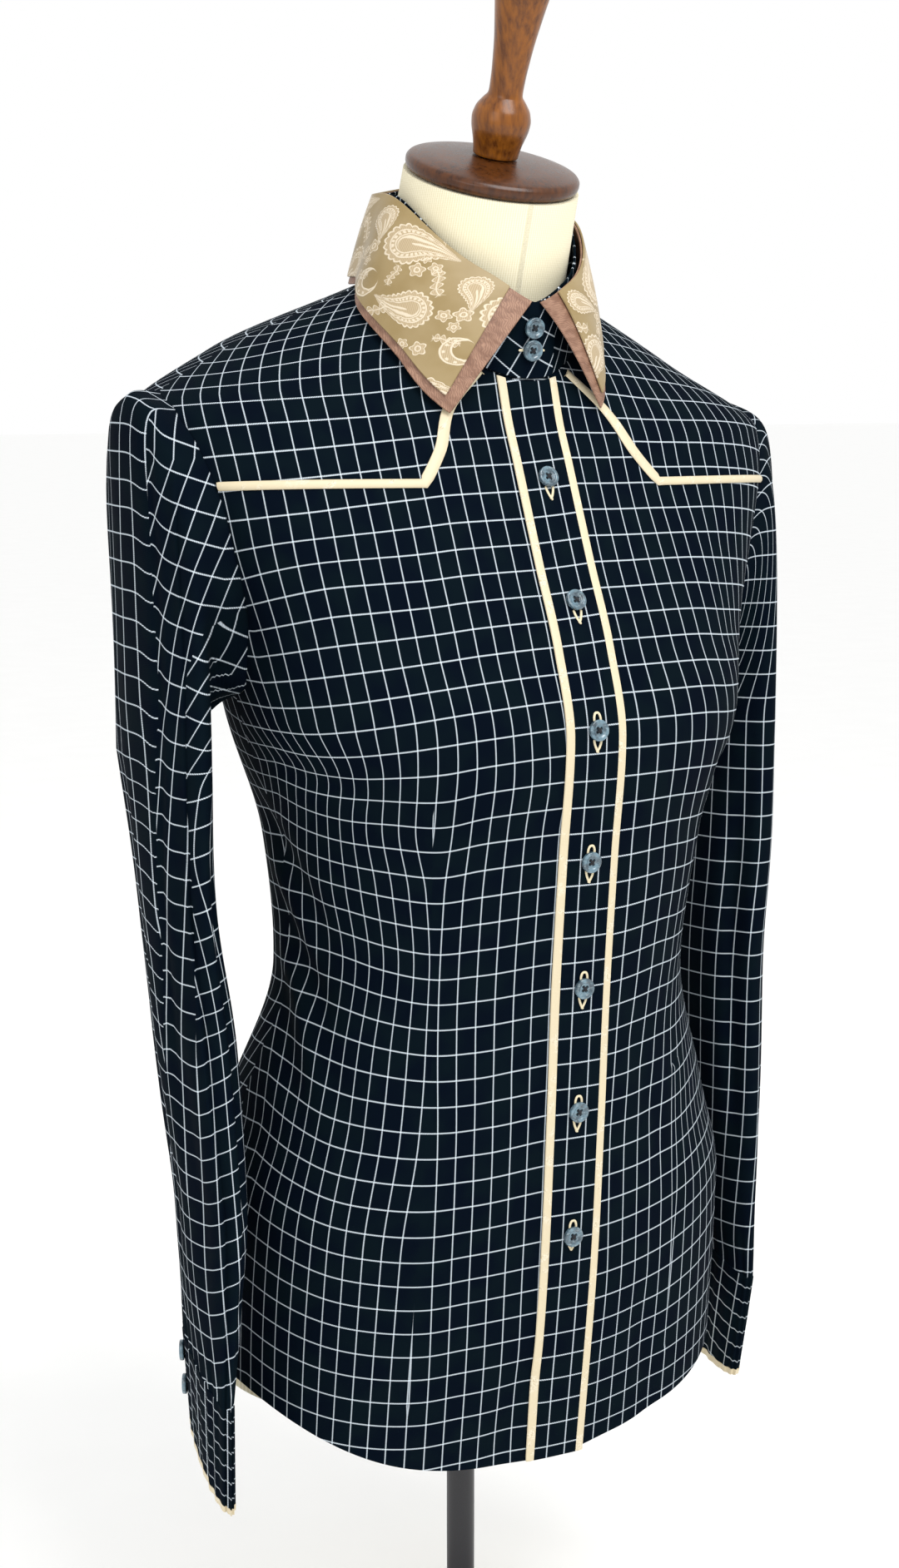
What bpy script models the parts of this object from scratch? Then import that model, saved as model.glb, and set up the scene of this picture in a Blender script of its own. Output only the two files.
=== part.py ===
"""Western shirt on a limbless dress form with a short round stand.

The file models in metres, +Z up.  The wearer faces -Y, so the wearer's left is +X.
The origin is the centre of the stand's underside.

The cloth follows one torso surface, read at an angle round the body (0 at the centre
front, +90 at the wearer's left side, 180 at the centre back) and at a level (the height
of that girth line at the centre front).  Every panel is a patch of that surface between
its own seams, and what lies on a panel is the same surface moved out.
All sizes below are millimetres and degrees; MM turns them into metres.
"""
import math

import bmesh
import bpy
import numpy as np

MM = 0.001

# ---- cloth ----
WALL = 1.2
CUFF_WALL = 1.8
SEAM = 0.3
LAY_GAP = 0.5            # between a panel and what lies on it
LAY_TOP = LAY_GAP + WALL
STRIP_DROP = 2.2         # what lies on the front stops this far below the neck seam

# ---- torso: one row for each girth line ----
TORSO_COLUMNS = ("level", "side_z", "back_z", "half_width", "side_y", "front_y", "back_y",
                 "front_square", "back_square")
TORSO_ROWS = (
    (192, 244, 232, 171, 4, -116, 130, 2.25, 2.2),     # hem
    (330, 346, 340, 169, -3, -133, 117, 2.2, 2.2),     # hip
    (400, 406, 404, 153, 1, -138, 93, 2.2, 2.3),       # high hip
    (490, 492, 490, 131, -15, -144, 62, 2.0, 2.3),     # waist
    (570, 572, 570, 138, -22, -151, 74, 2.1, 2.3),     # under bust
    (640, 644, 645, 158, -16, -158, 90, 2.45, 2.3),    # bust
    (690, 700, 700, 169, -11, -144, 98, 2.45, 2.3),    # above the bust
    (740, 758, 765, 190, -10, -121, 98, 2.4, 2.4),     # chest
    (795, 817, 854, 212, 4, -97, 97, 2.05, 2.8),       # shoulder tip
    (820, 858, 890, 152, 21, -86, 95, 2.0, 2.6),       # mid shoulder
    (845, 899, 906, 68, 0, -79, 50, 2.0, 2.0),         # neck seam
)
HEM = 192
HEM_CURVE_TOP = 330      # below this girth line the hem curve draws in towards the sides
SIDE_POWER = 2           # a girth line rises towards the sides by this power of the sine
SIDE_POWER_HEM = 6       # and by this one along the hem
UNDERARM = 654
SHOULDER = 806
NECK = 845
SHOULDER_SINK = 0.022     # the left shoulder hangs lower than the right, from this level up
SINK_FROM = 740

# ---- the left front hangs a little shorter between the placket and the side seam ----
HEM_LIFT_COLUMNS = ("angle", "lift")
HEM_LIFT = ((-90, 0), (0, 0), (20, 7), (40, 13), (65, 8), (90, 3))

# ---- main creases pressed into the torso: troughs, one row each ----
CREASE_ARC = 2.6         # mm of girth to a degree
CREASE_COLUMNS = ("angle", "level", "lean", "half_length", "half_breadth", "depth")
CREASES = (
    (-84, 553, -41, 48, 11, 4.0),      # drag lines under the right bust dart
    (-81, 498, -41, 48, 11, 4.0),
    (-81, 446, -41, 45, 11, 3.5),
    (-66, 612, -80, 40, 9, 2.5),       # dent along the dart
    (66, 590, -60, 55, 11, 2.5),       # the same on the left side
    (76, 535, -42, 60, 12, 3.0),
    (150, 500, 80, 60, 12, 3.0),       # hollow of the back
    (-152, 520, -78, 60, 12, 3.0),
    (-14, 225, 20, 35, 16, 2.5),       # hem, beside the placket
)

# ---- armhole seam from the underarm (0) to the shoulder tip (1) ----
ARMHOLE_COLUMNS = ("along", "level", "front_angle", "back_angle")
ARMHOLE_ROWS = (
    (0.00, 654, 90, 90),
    (0.10, 659, 85, 97),
    (0.25, 684, 80, 104),
    (0.45, 722, 76.5, 109),
    (0.62, 755, 76.5, 109),
    (0.80, 784, 78, 106),
    (0.93, 800, 82, 98),
    (1.00, 806, 90, 90),
)
YOKE_AT = 0.68           # where the front yoke seam meets the armhole
BACK_YOKE_AT = 0.72

# ---- how finely the panels are cut ----
ROWS_BELOW_ARM = 13
ROWS_BESIDE_ARM = 6
ROWS_ABOVE_YOKE = 4
FRONT_ROWS = ROWS_BELOW_ARM + ROWS_BESIDE_ARM
COLUMNS_ON_SLANT = 3
COLUMNS_ON_YOKE = 6
COLUMNS_SHOULDER = COLUMNS_ON_SLANT + COLUMNS_ON_YOKE
COLUMNS_BACK_NECK = 8
COLUMNS_BACK = 2 * COLUMNS_SHOULDER + COLUMNS_BACK_NECK

# ---- placket and its buttons ----
PLACKET_HALF = 14.6
STRIPE = 5.0
PLACKET_EDGE = PLACKET_HALF + SEAM + STRIPE
UPRIGHT_TO = PLACKET_EDGE + 0.5   # the fronts' columns stand upright as far as this
UPRIGHT_COLUMNS = 2
PLACKET_COLUMNS = 4
FRONTS_MEET = -10.0      # the two fronts meet under the placket
BUTTON_LEVELS = (787, 717, 645, 567.5, 491, 415, 337)
BUTTON_RADIUS = 6.3
BUTTON_THICK = 2.6
BUTTON_EDGE = 0.7        # rounding of the outer edge
BUTTON_RIM = 0.9
BUTTON_DISH = 0.7
BUTTON_SIDES = 14
BUTTON_SEAT = 0.6        # between the cloth and the button's underside

# ---- yoke ----
YOKE_NECK_X = 27
YOKE_CORNER_X = 80
YOKE_CORNER_LEVEL = 777
YOKE_NECK_GAP = 0.25     # degrees on each side of the seam, at the neck
PIPING = 4.5
PIPING_ARC = 1.66        # mm of girth to a degree, along the slanted part
PIPING_SLANT = 0.3       # the slanted edges also shift in level, for 1 aside
PIPING_MITRE = 0.4       # share of the slanted shift at the corner
PIPING_NECK_DROP = 4
PIPING_ARM_GAP = 0.4     # degrees short of the armhole

# ---- collar ----
STAND_WALL = 1.5
STAND_COLUMNS = ("angle", "height", "left_height", "spread", "forward")
STAND_ROWS = (
    (0, 43, 43, 7, 0),
    (20, 54, 50, 3, 0),
    (50, 57, 49, -4, 4),
    (90, 52, 46, -10, 12),
    (180, 55, 55, -7, 14),
)
STAND_START_X = -4       # the left end starts here, under the right end
STAND_OVERLAP_X = 17
STAND_ROUND_END = (0.9, 0.62)     # heights of the last two columns, so the end is rounded
STAND_END_COLUMN = 3     # degrees between them
STAND_STEP = 2.0         # the right end steps out to pass over the left end
STAND_STEP_FROM = 300
STAND_STEP_TO = 345
STAND_SHARES = (0.0, 0.35, 0.7, 1.0)
COLLAR_COLUMNS = ("neck_angle", "edge_angle", "edge_level", "lift", "roll")
COLLAR_RIGHT = (
    (2, 29, 814, 5, 4),
    (30, 47, 831, 5, 4),
    (60, 68, 838, 4, 3),
    (90, 92, 844, 2.5, 1),
    (135, 137, 844, 2.5, 1),
    (180, 180, 840, 4, 2),
)
COLLAR_LEFT = (
    (2, 25, 820, 5, 4),
    (30, 38, 836, 5, 3),
    (60, 61, 842.5, 4, 1),
    (90, 90, 844, 2.5, 1),
    (135, 137, 844, 2.5, 1),
    (180, 180, 840, 4, 2),
)
COLLAR_WALL = 1.2
COLLAR_GAP = 0.5
COLLAR_STANDS_OFF = 0.6   # between the stand and the fall at the fold
COLLAR_START = 2.0       # neck angle of the wings' front edges
COLLAR_ROWS = 7
COLLAR_COLUMNS_HALF = 11
COLLAR_CROWD = 1.15      # crowds the columns towards the wings
ROLL_UP = 0.6            # the fall bulges up by this much for 1 outwards
ROLL_TO_FOLD = 0.4       # and less towards its edge by this share
TOP_INSET_FOLD = 9.0     # the top collar stops short of the front edge, in degrees
TOP_INSET_TIP = 4.0
TOP_SHARE = 0.925        # and short of the outer edge
STAND_BUTTON_HEIGHTS = (16, 29)

# ---- sleeves: rings from the biceps to the cuff seam; x is measured outwards ----
SLEEVE_COLUMNS = ("drop", "z", "x", "y", "half_depth", "half_thick", "turn", "tilt")
SLEEVE_RIGHT = (
    (0.00, 625, 204, -4, 58, 18, 0, 0),
    (0.25, 538, 200, -9, 57, 18, 5, 1),
    (0.50, 459, 194, -17, 56, 21, 5, 3),
    (0.72, 370, 191, -32, 53, 17, 6, 8),
    (0.86, 316, 197, -45, 49, 12, 6, 14),
    (1.00, 268, 204, -57, 45, 7, 6, 20),
)
SLEEVE_LEFT = (
    (0.00, 625, 201, 12, 60, 26, 0, 0),
    (0.25, 538, 197, 8, 57, 30, 0, 0),
    (0.50, 459, 194, 8, 55, 25, 0, 0),
    (0.72, 370, 196, 8, 54, 21, 0, 3),
    (0.86, 317, 197, 6, 51, 16, 0, 10),
    (1.00, 270, 195, -4, 47, 10, 0, 23),
)
CUFF_HEIGHT = 80
CUFF_COLUMNS = ("share", "x", "y", "z", "turn", "tilt")
CUFF_RIGHT = ((0, 0, 0, 0, 0, 0), (1, -11, 20, -67, 3, 2))
CUFF_LEFT = ((0, 0, 0, 0, 0, 0), (1, 10, 15, -80, -13, -16))
CUFF_PIPING = 4.5
CUFF_OUT = 0.6           # the cuff's face lies this far outside the sleeve's
CUFF_PIPING_OUT = 0.8
CUFF_ROWS = 4
CUFF_BUTTON_ROUND = 232
CUFF_BUTTON_DROPS = (20, 50)
SLEEVE_RINGS = 9
CAP_RINGS = 6
CAP_CLEAR = 0.8          # between the armhole and the sleeve head
CAP_INNER = 0.3          # the head's inner face starts this share of its wall further in
PUFF_POWER = 0.7
CAP_RIGHT = {"square_top": 9.0, "square_low": 1.6, "puff": 6.0, "puff_up": 0.25}
CAP_LEFT = {"square_top": 4.0, "square_low": 1.6, "puff": 0.0, "puff_up": 1.0}
SLEEVE_CREASE_COLUMNS = ("round", "drop", "half_round", "half_drop", "depth")
SLEEVE_CREASES = (
    (128, 0.15, 14, 0.30, 4.0),
    (60, 0.45, 12, 0.30, 5.0),
    (150, 0.60, 12, 0.25, 3.0),
    (215, 0.30, 16, 0.30, 4.0),
    (300, 0.50, 16, 0.30, 4.0),
)

# ---- dress form ----
FORM_BOTTOM = 228
FORM_COLUMNS = ("level", "ease")
FORM_ROWS = ((228, 9), (330, 7), (490, 8), (640, 5), (700, 4), (760, 6), (806, 8), (838, 8))
FORM_LEVELS = (228, 255, 290, 340, 390, 440, 490, 540, 590, 630, 660, 695, 730, 765, 785,
               797, 808, 822, 834)
NECK_LEAN = 19
NECK_COLUMNS = ("up", "radius")
NECK_ROWS = ((-80, 58), (-50, 54.5), (-20, 53.5), (0, 53))
CAP_CENTRE = (0, -36, 962)
CAP_PROFILE = ((0, 0), (49, 0), (51.5, 1.5), (52.5, 4), (52.5, 7), (50.5, 9.5), (40, 12), (18, 14),
               (0, 14))
FINIAL_PROFILE = (
    (0, 14.3), (13.5, 14.3), (13.8, 18), (14.8, 23), (17.2, 31), (17.8, 37), (16.2, 43),
    (12.6, 48), (10.0, 51), (10.4, 64), (12.0, 82), (15.0, 102), (17.5, 116), (18.5, 124),
    (17.0, 133), (11.5, 141), (0, 144),
)

# ---- stand ----
BASE_PROFILE = ((0, 0), (122, 0), (125, 3), (125, 9), (121, 13), (60, 16), (0, 16))
POLE_RADIUS = 9
POLE_FOOT = 16.3
ROUND_SIDES = 40
FINIAL_SIDES = 28
POLE_SIDES = 24

# ---- finishes ----
FINISH_COLUMNS = ("red", "green", "blue", "roughness", "metallic")
FINISHES = {
    "check_cloth": (0.012, 0.022, 0.03, 0.8, 0),
    "gold_brocade": (0.62, 0.5, 0.28, 0.5, 0),
    "taupe_brocade": (0.27, 0.16, 0.11, 0.55, 0),
    "blue_pearl": (0.13, 0.2, 0.24, 0.25, 0),
    "cream_jersey": (0.82, 0.77, 0.6, 0.9, 0),
    "turned_wood": (0.2, 0.07, 0.02, 0.35, 0),
    "painted_metal": (0.02, 0.02, 0.02, 0.4, 0.6),
}


# ------------------------------------------------------------------ tables and surfaces

def read_table(rows, columns, name, at):
    """One named column of a table, read smoothly at values of the first column."""
    x = np.array([row[0] for row in rows], float)
    y = np.array([row[columns.index(name)] for row in rows], float)
    step = np.diff(x)
    slope = np.diff(y) / step
    tangent = np.concatenate([slope[:1], np.zeros(len(slope) - 1), slope[-1:]])
    for k in range(1, len(slope)):
        before, after = slope[k - 1], slope[k]
        if before * after > 0:
            weight_b, weight_a = 2 * step[k] + step[k - 1], step[k] + 2 * step[k - 1]
            tangent[k] = (weight_a + weight_b) / (weight_b / before + weight_a / after)
    at = np.clip(at, x[0], x[-1])
    k = np.clip(np.searchsorted(x, at, side="right") - 1, 0, len(step) - 1)
    u = (at - x[k]) / step[k]
    ends = y[k] * (1 + 2 * u) * (1 - u) ** 2 + y[k + 1] * u * u * (3 - 2 * u)
    return ends + step[k] * (tangent[k] * u * (1 - u) ** 2 + tangent[k + 1] * u * u * (u - 1))


def torso_plain(angle, level):
    """The torso surface without creases, in mm."""
    level = np.clip(level, HEM, NECK)
    row = {name: read_table(TORSO_ROWS, TORSO_COLUMNS, name, level) for name in TORSO_COLUMNS}
    turn = np.radians(angle)
    in_front = np.cos(turn) >= 0
    depth = np.where(in_front, row["side_y"] - row["front_y"], row["back_y"] - row["side_y"])
    square = np.where(in_front, row["front_square"], row["back_square"])
    reach = ((np.abs(np.cos(turn)) / depth) ** square
             + (np.abs(np.sin(turn)) / row["half_width"]) ** square) ** (-1 / square)
    end_z = np.where(in_front, level, row["back_z"])
    near_hem = np.clip((HEM_CURVE_TOP - level) / (HEM_CURVE_TOP - HEM), 0, 1)
    rise = SIDE_POWER + (SIDE_POWER_HEM - SIDE_POWER) * near_hem
    z = end_z + (row["side_z"] - end_z) * np.abs(np.sin(turn)) ** rise
    x = reach * np.sin(turn)
    sink = SHOULDER_SINK * np.clip((level - SINK_FROM) / (SHOULDER - SINK_FROM), 0, 1)
    return np.stack([x, row["side_y"] - reach * np.cos(turn), z - sink * x], axis=-1)


def torso_creases(angle, level):
    """How far the creases press the torso surface in, in mm."""
    pressed = np.zeros(np.broadcast(angle, level).shape)
    turned = (np.asarray(angle) + 180) % 360 - 180
    for row in CREASES:
        crease = dict(zip(CREASE_COLUMNS, row))
        lean = math.radians(crease["lean"])
        aside = (turned - crease["angle"]) * CREASE_ARC
        above = level - crease["level"]
        along = above * math.cos(lean) + aside * math.sin(lean)
        across = aside * math.cos(lean) - above * math.sin(lean)
        pressed = pressed + crease["depth"] * np.exp(
            -(across / crease["half_breadth"]) ** 2 - (along / crease["half_length"]) ** 4)
    return pressed


def torso(angle, level, out=0.0):
    """Points of the torso surface moved out by some mm, creases included, in mm."""
    angle, level, out = np.broadcast_arrays(np.asarray(angle, float), level, out)
    level = np.clip(level, HEM + 0.01, NECK - 0.01)
    across = torso_plain(angle + 0.5, level) - torso_plain(angle - 0.5, level)
    above = torso_plain(angle, np.minimum(level + 1, NECK))
    below = torso_plain(angle, np.maximum(level - 1, HEM))
    normal = np.cross(across, above - below)
    normal /= np.linalg.norm(normal, axis=-1, keepdims=True)
    return torso_plain(angle, level) + (out - torso_creases(angle, level))[..., None] * normal


def angle_at(x, level):
    """The angle at which a girth line passes a distance x beside the centre front."""
    angles = np.linspace(0, 90, 361)
    found = np.interp(abs(x), torso_plain(angles, np.full(angles.shape, float(level)))[:, 0], angles)
    return math.copysign(found, x)


def seam_angle(level):
    """Half of a seam's gap, as an angle."""
    return math.degrees(SEAM / 2 / read_table(TORSO_ROWS, TORSO_COLUMNS, "half_width", level))


# ------------------------------------------------------------------ making solids

def add_object(name, vertices, faces, finish, smooth=40):
    """One closed mesh object from points in mm."""
    mesh = bpy.data.meshes.new(name)
    mesh.from_pydata([tuple(point) for point in np.asarray(vertices) * MM], [], faces)
    work = bmesh.new()
    work.from_mesh(mesh)
    bmesh.ops.recalc_face_normals(work, faces=work.faces)
    work.to_mesh(mesh)
    work.free()
    mesh.shade_smooth()
    mesh.set_sharp_from_angle(angle=math.radians(smooth))
    mesh.materials.append(finish)
    item = bpy.data.objects.new(name, mesh)
    bpy.context.collection.objects.link(item)
    return item


def wall_solid(name, outer, inner, finish, ring=False):
    """A wall between two grids of points; a ring's last column joins its first."""
    rows, columns = outer.shape[:2]
    count = rows * columns

    def corner(row, column, side):
        return side * count + row * columns + column % columns

    spans = columns if ring else columns - 1
    faces = []
    for i in range(rows - 1):
        for j in range(spans):
            for side in (0, 1):
                a, b = corner(i, j, side), corner(i, j + 1, side)
                c, d = corner(i + 1, j + 1, side), corner(i + 1, j, side)
                faces += [(a, b, c), (a, c, d)] if side == 0 else [(a, c, b), (a, d, c)]
    for j in range(spans):
        for i, flip in ((0, True), (rows - 1, False)):
            strip = (corner(i, j, 0), corner(i, j + 1, 0), corner(i, j + 1, 1), corner(i, j, 1))
            faces.append(strip[::-1] if flip else strip)
    if not ring:
        for i in range(rows - 1):
            for j, flip in ((0, False), (columns - 1, True)):
                strip = (corner(i, j, 0), corner(i + 1, j, 0), corner(i + 1, j, 1), corner(i, j, 1))
                faces.append(strip[::-1] if flip else strip)
    vertices = np.concatenate([outer.reshape(-1, 3), inner.reshape(-1, 3)])
    return add_object(name, vertices, faces, finish)


def ring_solid(name, rings, finish):
    """A filled solid through a stack of rings, with flat fans at both ends."""
    rows, columns = rings.shape[:2]
    faces = []
    for i in range(rows - 1):
        for j in range(columns):
            a, b = i * columns + j, i * columns + (j + 1) % columns
            c, d = b + columns, a + columns
            faces += [(a, b, c), (a, c, d)]
    low, high = rows * columns, rows * columns + 1
    last = (rows - 1) * columns
    for j in range(columns):
        faces.append((low, (j + 1) % columns, j))
        faces.append((high, last + j, last + (j + 1) % columns))
    ends = np.stack([rings[0].mean(axis=0), rings[-1].mean(axis=0)])
    return add_object(name, np.concatenate([rings.reshape(-1, 3), ends]), faces, finish)


def turned_solid(name, profile, finish, place=lambda points: points, sides=ROUND_SIDES):
    """A turned piece; the profile is (radius, height) from the bottom axis point up."""
    turn = np.linspace(0, 2 * math.pi, sides, endpoint=False)
    inner = profile[1:-1]
    rings = np.stack([np.stack([radius * np.cos(turn), radius * np.sin(turn),
                                np.full(sides, float(height))], axis=-1)
                      for radius, height in inner])
    item = ring_solid(name, place(rings), finish)
    ends = place(np.array([[0, 0, float(profile[0][1])], [0, 0, float(profile[-1][1])]]))
    for index, end in zip((-2, -1), ends):
        item.data.vertices[len(item.data.vertices) + index].co = end * MM
    return item


def make_finish(name):
    row = dict(zip(FINISH_COLUMNS, FINISHES[name]))
    colour = (row["red"], row["green"], row["blue"], 1)
    finish = bpy.data.materials.new(name)
    finish.use_nodes = True
    shader = finish.node_tree.nodes["Principled BSDF"]
    shader.inputs["Base Color"].default_value = colour
    shader.inputs["Roughness"].default_value = row["roughness"]
    shader.inputs["Metallic"].default_value = row["metallic"]
    finish.diffuse_color = colour
    return finish


# ------------------------------------------------------------------ seams and patches

def patch(bottom, top, left, right):
    """Blend four boundary rows of (angle, level) into a grid of them."""
    bottom, top, left, right = (np.array(side, float) for side in (bottom, top, left, right))
    u = np.linspace(0, 1, len(bottom))[None, :, None]
    v = np.linspace(0, 1, len(left))[:, None, None]
    ruled = ((1 - v) * bottom[None] + v * top[None]
             + (1 - u) * left[:, None] + u * right[:, None])
    corners = ((1 - v) * ((1 - u) * bottom[0] + u * bottom[-1])
               + v * ((1 - u) * top[0] + u * top[-1]))
    return ruled - corners


def run(start, end, steps):
    """Evenly spaced (angle, level) points from start to end, end left out."""
    return [tuple(np.array(start) + (np.array(end) - np.array(start)) * k / steps) for k in range(steps)]


def armhole(start, end, steps, face):
    """Armhole points on the front or back, from one place along it to another."""
    points = []
    for along in np.linspace(start, end, steps + 1):
        level = float(read_table(ARMHOLE_ROWS, ARMHOLE_COLUMNS, "level", along))
        angle = float(read_table(ARMHOLE_ROWS, ARMHOLE_COLUMNS, face + "_angle", along))
        shift = seam_angle(level) * (-1 if face == "front" else 1)
        points.append((angle + shift, level))
    return points


def hem_lift(angle):
    return float(read_table(HEM_LIFT, HEM_LIFT_COLUMNS, "lift", angle))


def side_seam(face, lift=0.0):
    shift = -1 if face == "front" else 1
    return [(90 + shift * seam_angle(level), level)
            for level in np.linspace(HEM + lift, UNDERARM, ROWS_BELOW_ARM + 1)[:-1]]


def front_levels():
    return np.linspace(HEM, NECK - SEAM, FRONT_ROWS + 1)


def yoke_line(shift):
    """The front yoke seam from the neck to the armhole, moved up or down a little."""
    neck = (angle_at(YOKE_NECK_X, NECK), NECK)
    corner = (angle_at(YOKE_CORNER_X, YOKE_CORNER_LEVEL), YOKE_CORNER_LEVEL + shift)
    end = armhole(YOKE_AT, 1, 1, "front")[0]
    if shift:
        neck = (neck[0] + math.copysign(YOKE_NECK_GAP, shift), neck[1])
    end = (end[0], end[1] + shift)
    return run(neck, corner, COLUMNS_ON_SLANT) + run(corner, end, COLUMNS_ON_YOKE) + [end]


def panel_points(grid, out, side=1):
    """Torso points of a grid of (angle, level); side -1 mirrors it to the right."""
    points = torso(side * grid[..., 0], grid[..., 1], out)
    return points[:, ::-1] if side < 0 else points


def cloth_panel(name, grid, finish, side=1, low=-WALL, high=0.0):
    return wall_solid(name, panel_points(grid, high, side), panel_points(grid, low, side), finish)


# ------------------------------------------------------------------ the shirt's body

def make_front(side, finish):
    """One front below the yoke, from under the placket to the side seam and armhole."""
    meet = FRONTS_MEET + side * SEAM / 2
    inner_x = meet * side
    levels = front_levels()
    outer_column = [(angle_at(UPRIGHT_TO, level), level) for level in levels]
    outer_column[0] = (outer_column[0][0], HEM + hem_lift(side * outer_column[0][0]))
    inner_columns = [[(angle_at(x, level), level) for level in levels]
                     for x in np.linspace(inner_x, UPRIGHT_TO, UPRIGHT_COLUMNS + 1)[:-1]]
    top = [outer_column[-1]] + yoke_line(-SEAM / 2)
    bottom = run(outer_column[0], (90 - seam_angle(HEM), HEM), len(top) - 1)
    bottom.append((90 - seam_angle(HEM), HEM))
    bottom = [(angle, level + hem_lift(side * angle)) for angle, level in bottom]
    right = side_seam("front", hem_lift(side * 90)) + armhole(0, YOKE_AT, ROWS_BESIDE_ARM, "front")
    right[-1] = top[-1]
    grid = patch(bottom, top, outer_column, right)
    grid = np.concatenate([np.array(inner_columns).transpose(1, 0, 2), grid], axis=1)
    label = "front_left" if side > 0 else "front_right"
    cloth_panel(label, grid, finish, side)


def make_front_yoke(side, finish):
    bottom = yoke_line(SEAM / 2)
    right = armhole(YOKE_AT, 1, ROWS_ABOVE_YOKE, "front")
    right[0] = bottom[-1]
    hps = (90 - seam_angle(NECK), NECK - SEAM)
    tip = right[-1]
    top = run(hps, tip, len(bottom) - 1) + [tip]
    neck = bottom[0]
    left = run(neck, hps, ROWS_ABOVE_YOKE) + [hps]
    label = "front_yoke_left" if side > 0 else "front_yoke_right"
    cloth_panel(label, patch(bottom, top, left, right), finish, side)


def make_yoke_piping(side, finish):
    """Flat piping laid along the yoke seam."""
    low, high = np.array(yoke_line(0)), np.array(yoke_line(0))
    half = PIPING / 2
    slant = COLUMNS_ON_SLANT
    aside = half / PIPING_ARC
    low[:slant] += (-aside, -PIPING_SLANT * half)
    high[:slant] += (aside, PIPING_SLANT * half)
    low[slant] += (-PIPING_MITRE * aside, -half)
    high[slant] += (PIPING_MITRE * aside, half)
    low[slant + 1:, 1] -= half
    high[slant + 1:, 1] += half
    for line in (low, high):
        line[0, 1] = NECK - PIPING_NECK_DROP
        line[-1, 0] -= PIPING_ARM_GAP
    label = "yoke_piping_left" if side > 0 else "yoke_piping_right"
    cloth_panel(label, np.stack([low, high]), finish, side, LAY_GAP, LAY_TOP)


def back_yoke_line(shift):
    left = armhole(0, BACK_YOKE_AT, 1, "back")[-1]
    start = (left[0], left[1] + shift)
    end = (360 - left[0], left[1] + shift)
    return run(start, end, COLUMNS_BACK) + [end]


def mirror_back(points):
    return [(360 - angle, level) for angle, level in points]


def make_back(finish):
    top = back_yoke_line(-SEAM / 2)
    left = side_seam("back") + armhole(0, BACK_YOKE_AT, ROWS_BESIDE_ARM, "back")
    left[-1] = top[0]
    right = mirror_back(left)
    bottom = run(left[0], right[0], COLUMNS_BACK) + [right[0]]
    cloth_panel("back", patch(bottom, top, left, right), finish)


def back_neck_points(steps):
    start, end = 90 + seam_angle(NECK), 270 - seam_angle(NECK)
    return [(angle, NECK - SEAM) for angle in np.linspace(start, end, steps + 1)]


def make_back_yoke(finish):
    bottom = back_yoke_line(SEAM / 2)
    left = armhole(BACK_YOKE_AT, 1, ROWS_ABOVE_YOKE, "back")
    left[0] = bottom[0]
    right = mirror_back(left)
    neck = back_neck_points(COLUMNS_BACK_NECK)
    top = run(left[-1], neck[0], COLUMNS_SHOULDER) + neck[:-1]
    top += run(neck[-1], right[-1], COLUMNS_SHOULDER) + [right[-1]]
    cloth_panel("back_yoke", patch(bottom, top, left, right), finish)


def strip_grid(left_x, right_x, columns=2):
    """(angle, level) points of an upright strip down the front."""
    levels = front_levels()
    levels[-1] = NECK - STRIP_DROP
    return np.array([[(angle_at(x, level), level) for x in np.linspace(left_x, right_x, columns)]
                     for level in levels])


def make_placket(cloth, gold):
    middle = strip_grid(-PLACKET_HALF, PLACKET_HALF, PLACKET_COLUMNS)
    cloth_panel("placket", middle, cloth, 1, LAY_GAP, LAY_TOP)
    inner, outer = PLACKET_HALF + SEAM, PLACKET_EDGE
    cloth_panel("placket_stripe_left", strip_grid(inner, outer), gold, 1, LAY_GAP, LAY_TOP)
    cloth_panel("placket_stripe_right", strip_grid(-outer, -inner), gold, 1, LAY_GAP, LAY_TOP)


# ------------------------------------------------------------------ buttons

def make_button(name, centre, normal, finish):
    """A dished round button standing on a point of the cloth."""
    radius, thick, edge = BUTTON_RADIUS, BUTTON_THICK, BUTTON_EDGE
    rim = radius - edge - BUTTON_RIM
    floor = thick - BUTTON_DISH
    profile = ((0, 0), (radius - edge, 0), (radius, edge), (radius, thick - edge),
               (radius - edge, thick), (rim, thick), (rim - BUTTON_DISH, floor), (0, floor))
    normal = np.array(normal) / np.linalg.norm(normal)
    aside = np.cross((0, 0, 1), normal)
    aside /= np.linalg.norm(aside)
    up = np.cross(normal, aside)

    def place(points):
        return centre + points[..., :1] * aside + points[..., 1:2] * up + points[..., 2:] * normal

    turned_solid(name, profile, finish, place, BUTTON_SIDES)


def make_placket_buttons(finish):
    for number, level in enumerate(BUTTON_LEVELS, 1):
        facet = front_levels()
        k = int(np.searchsorted(facet, level)) - 1
        low, high = torso(0, facet[k], LAY_TOP), torso(0, facet[k + 1], LAY_TOP)
        share = (level - facet[k]) / (facet[k + 1] - facet[k])
        seat = low + (high - low) * share
        along = (high - low) / np.linalg.norm(high - low)
        normal = np.cross((1, 0, 0), along)
        make_button(f"button_{number}", seat + normal * BUTTON_SEAT, normal, finish)


# ------------------------------------------------------------------ collar

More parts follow.
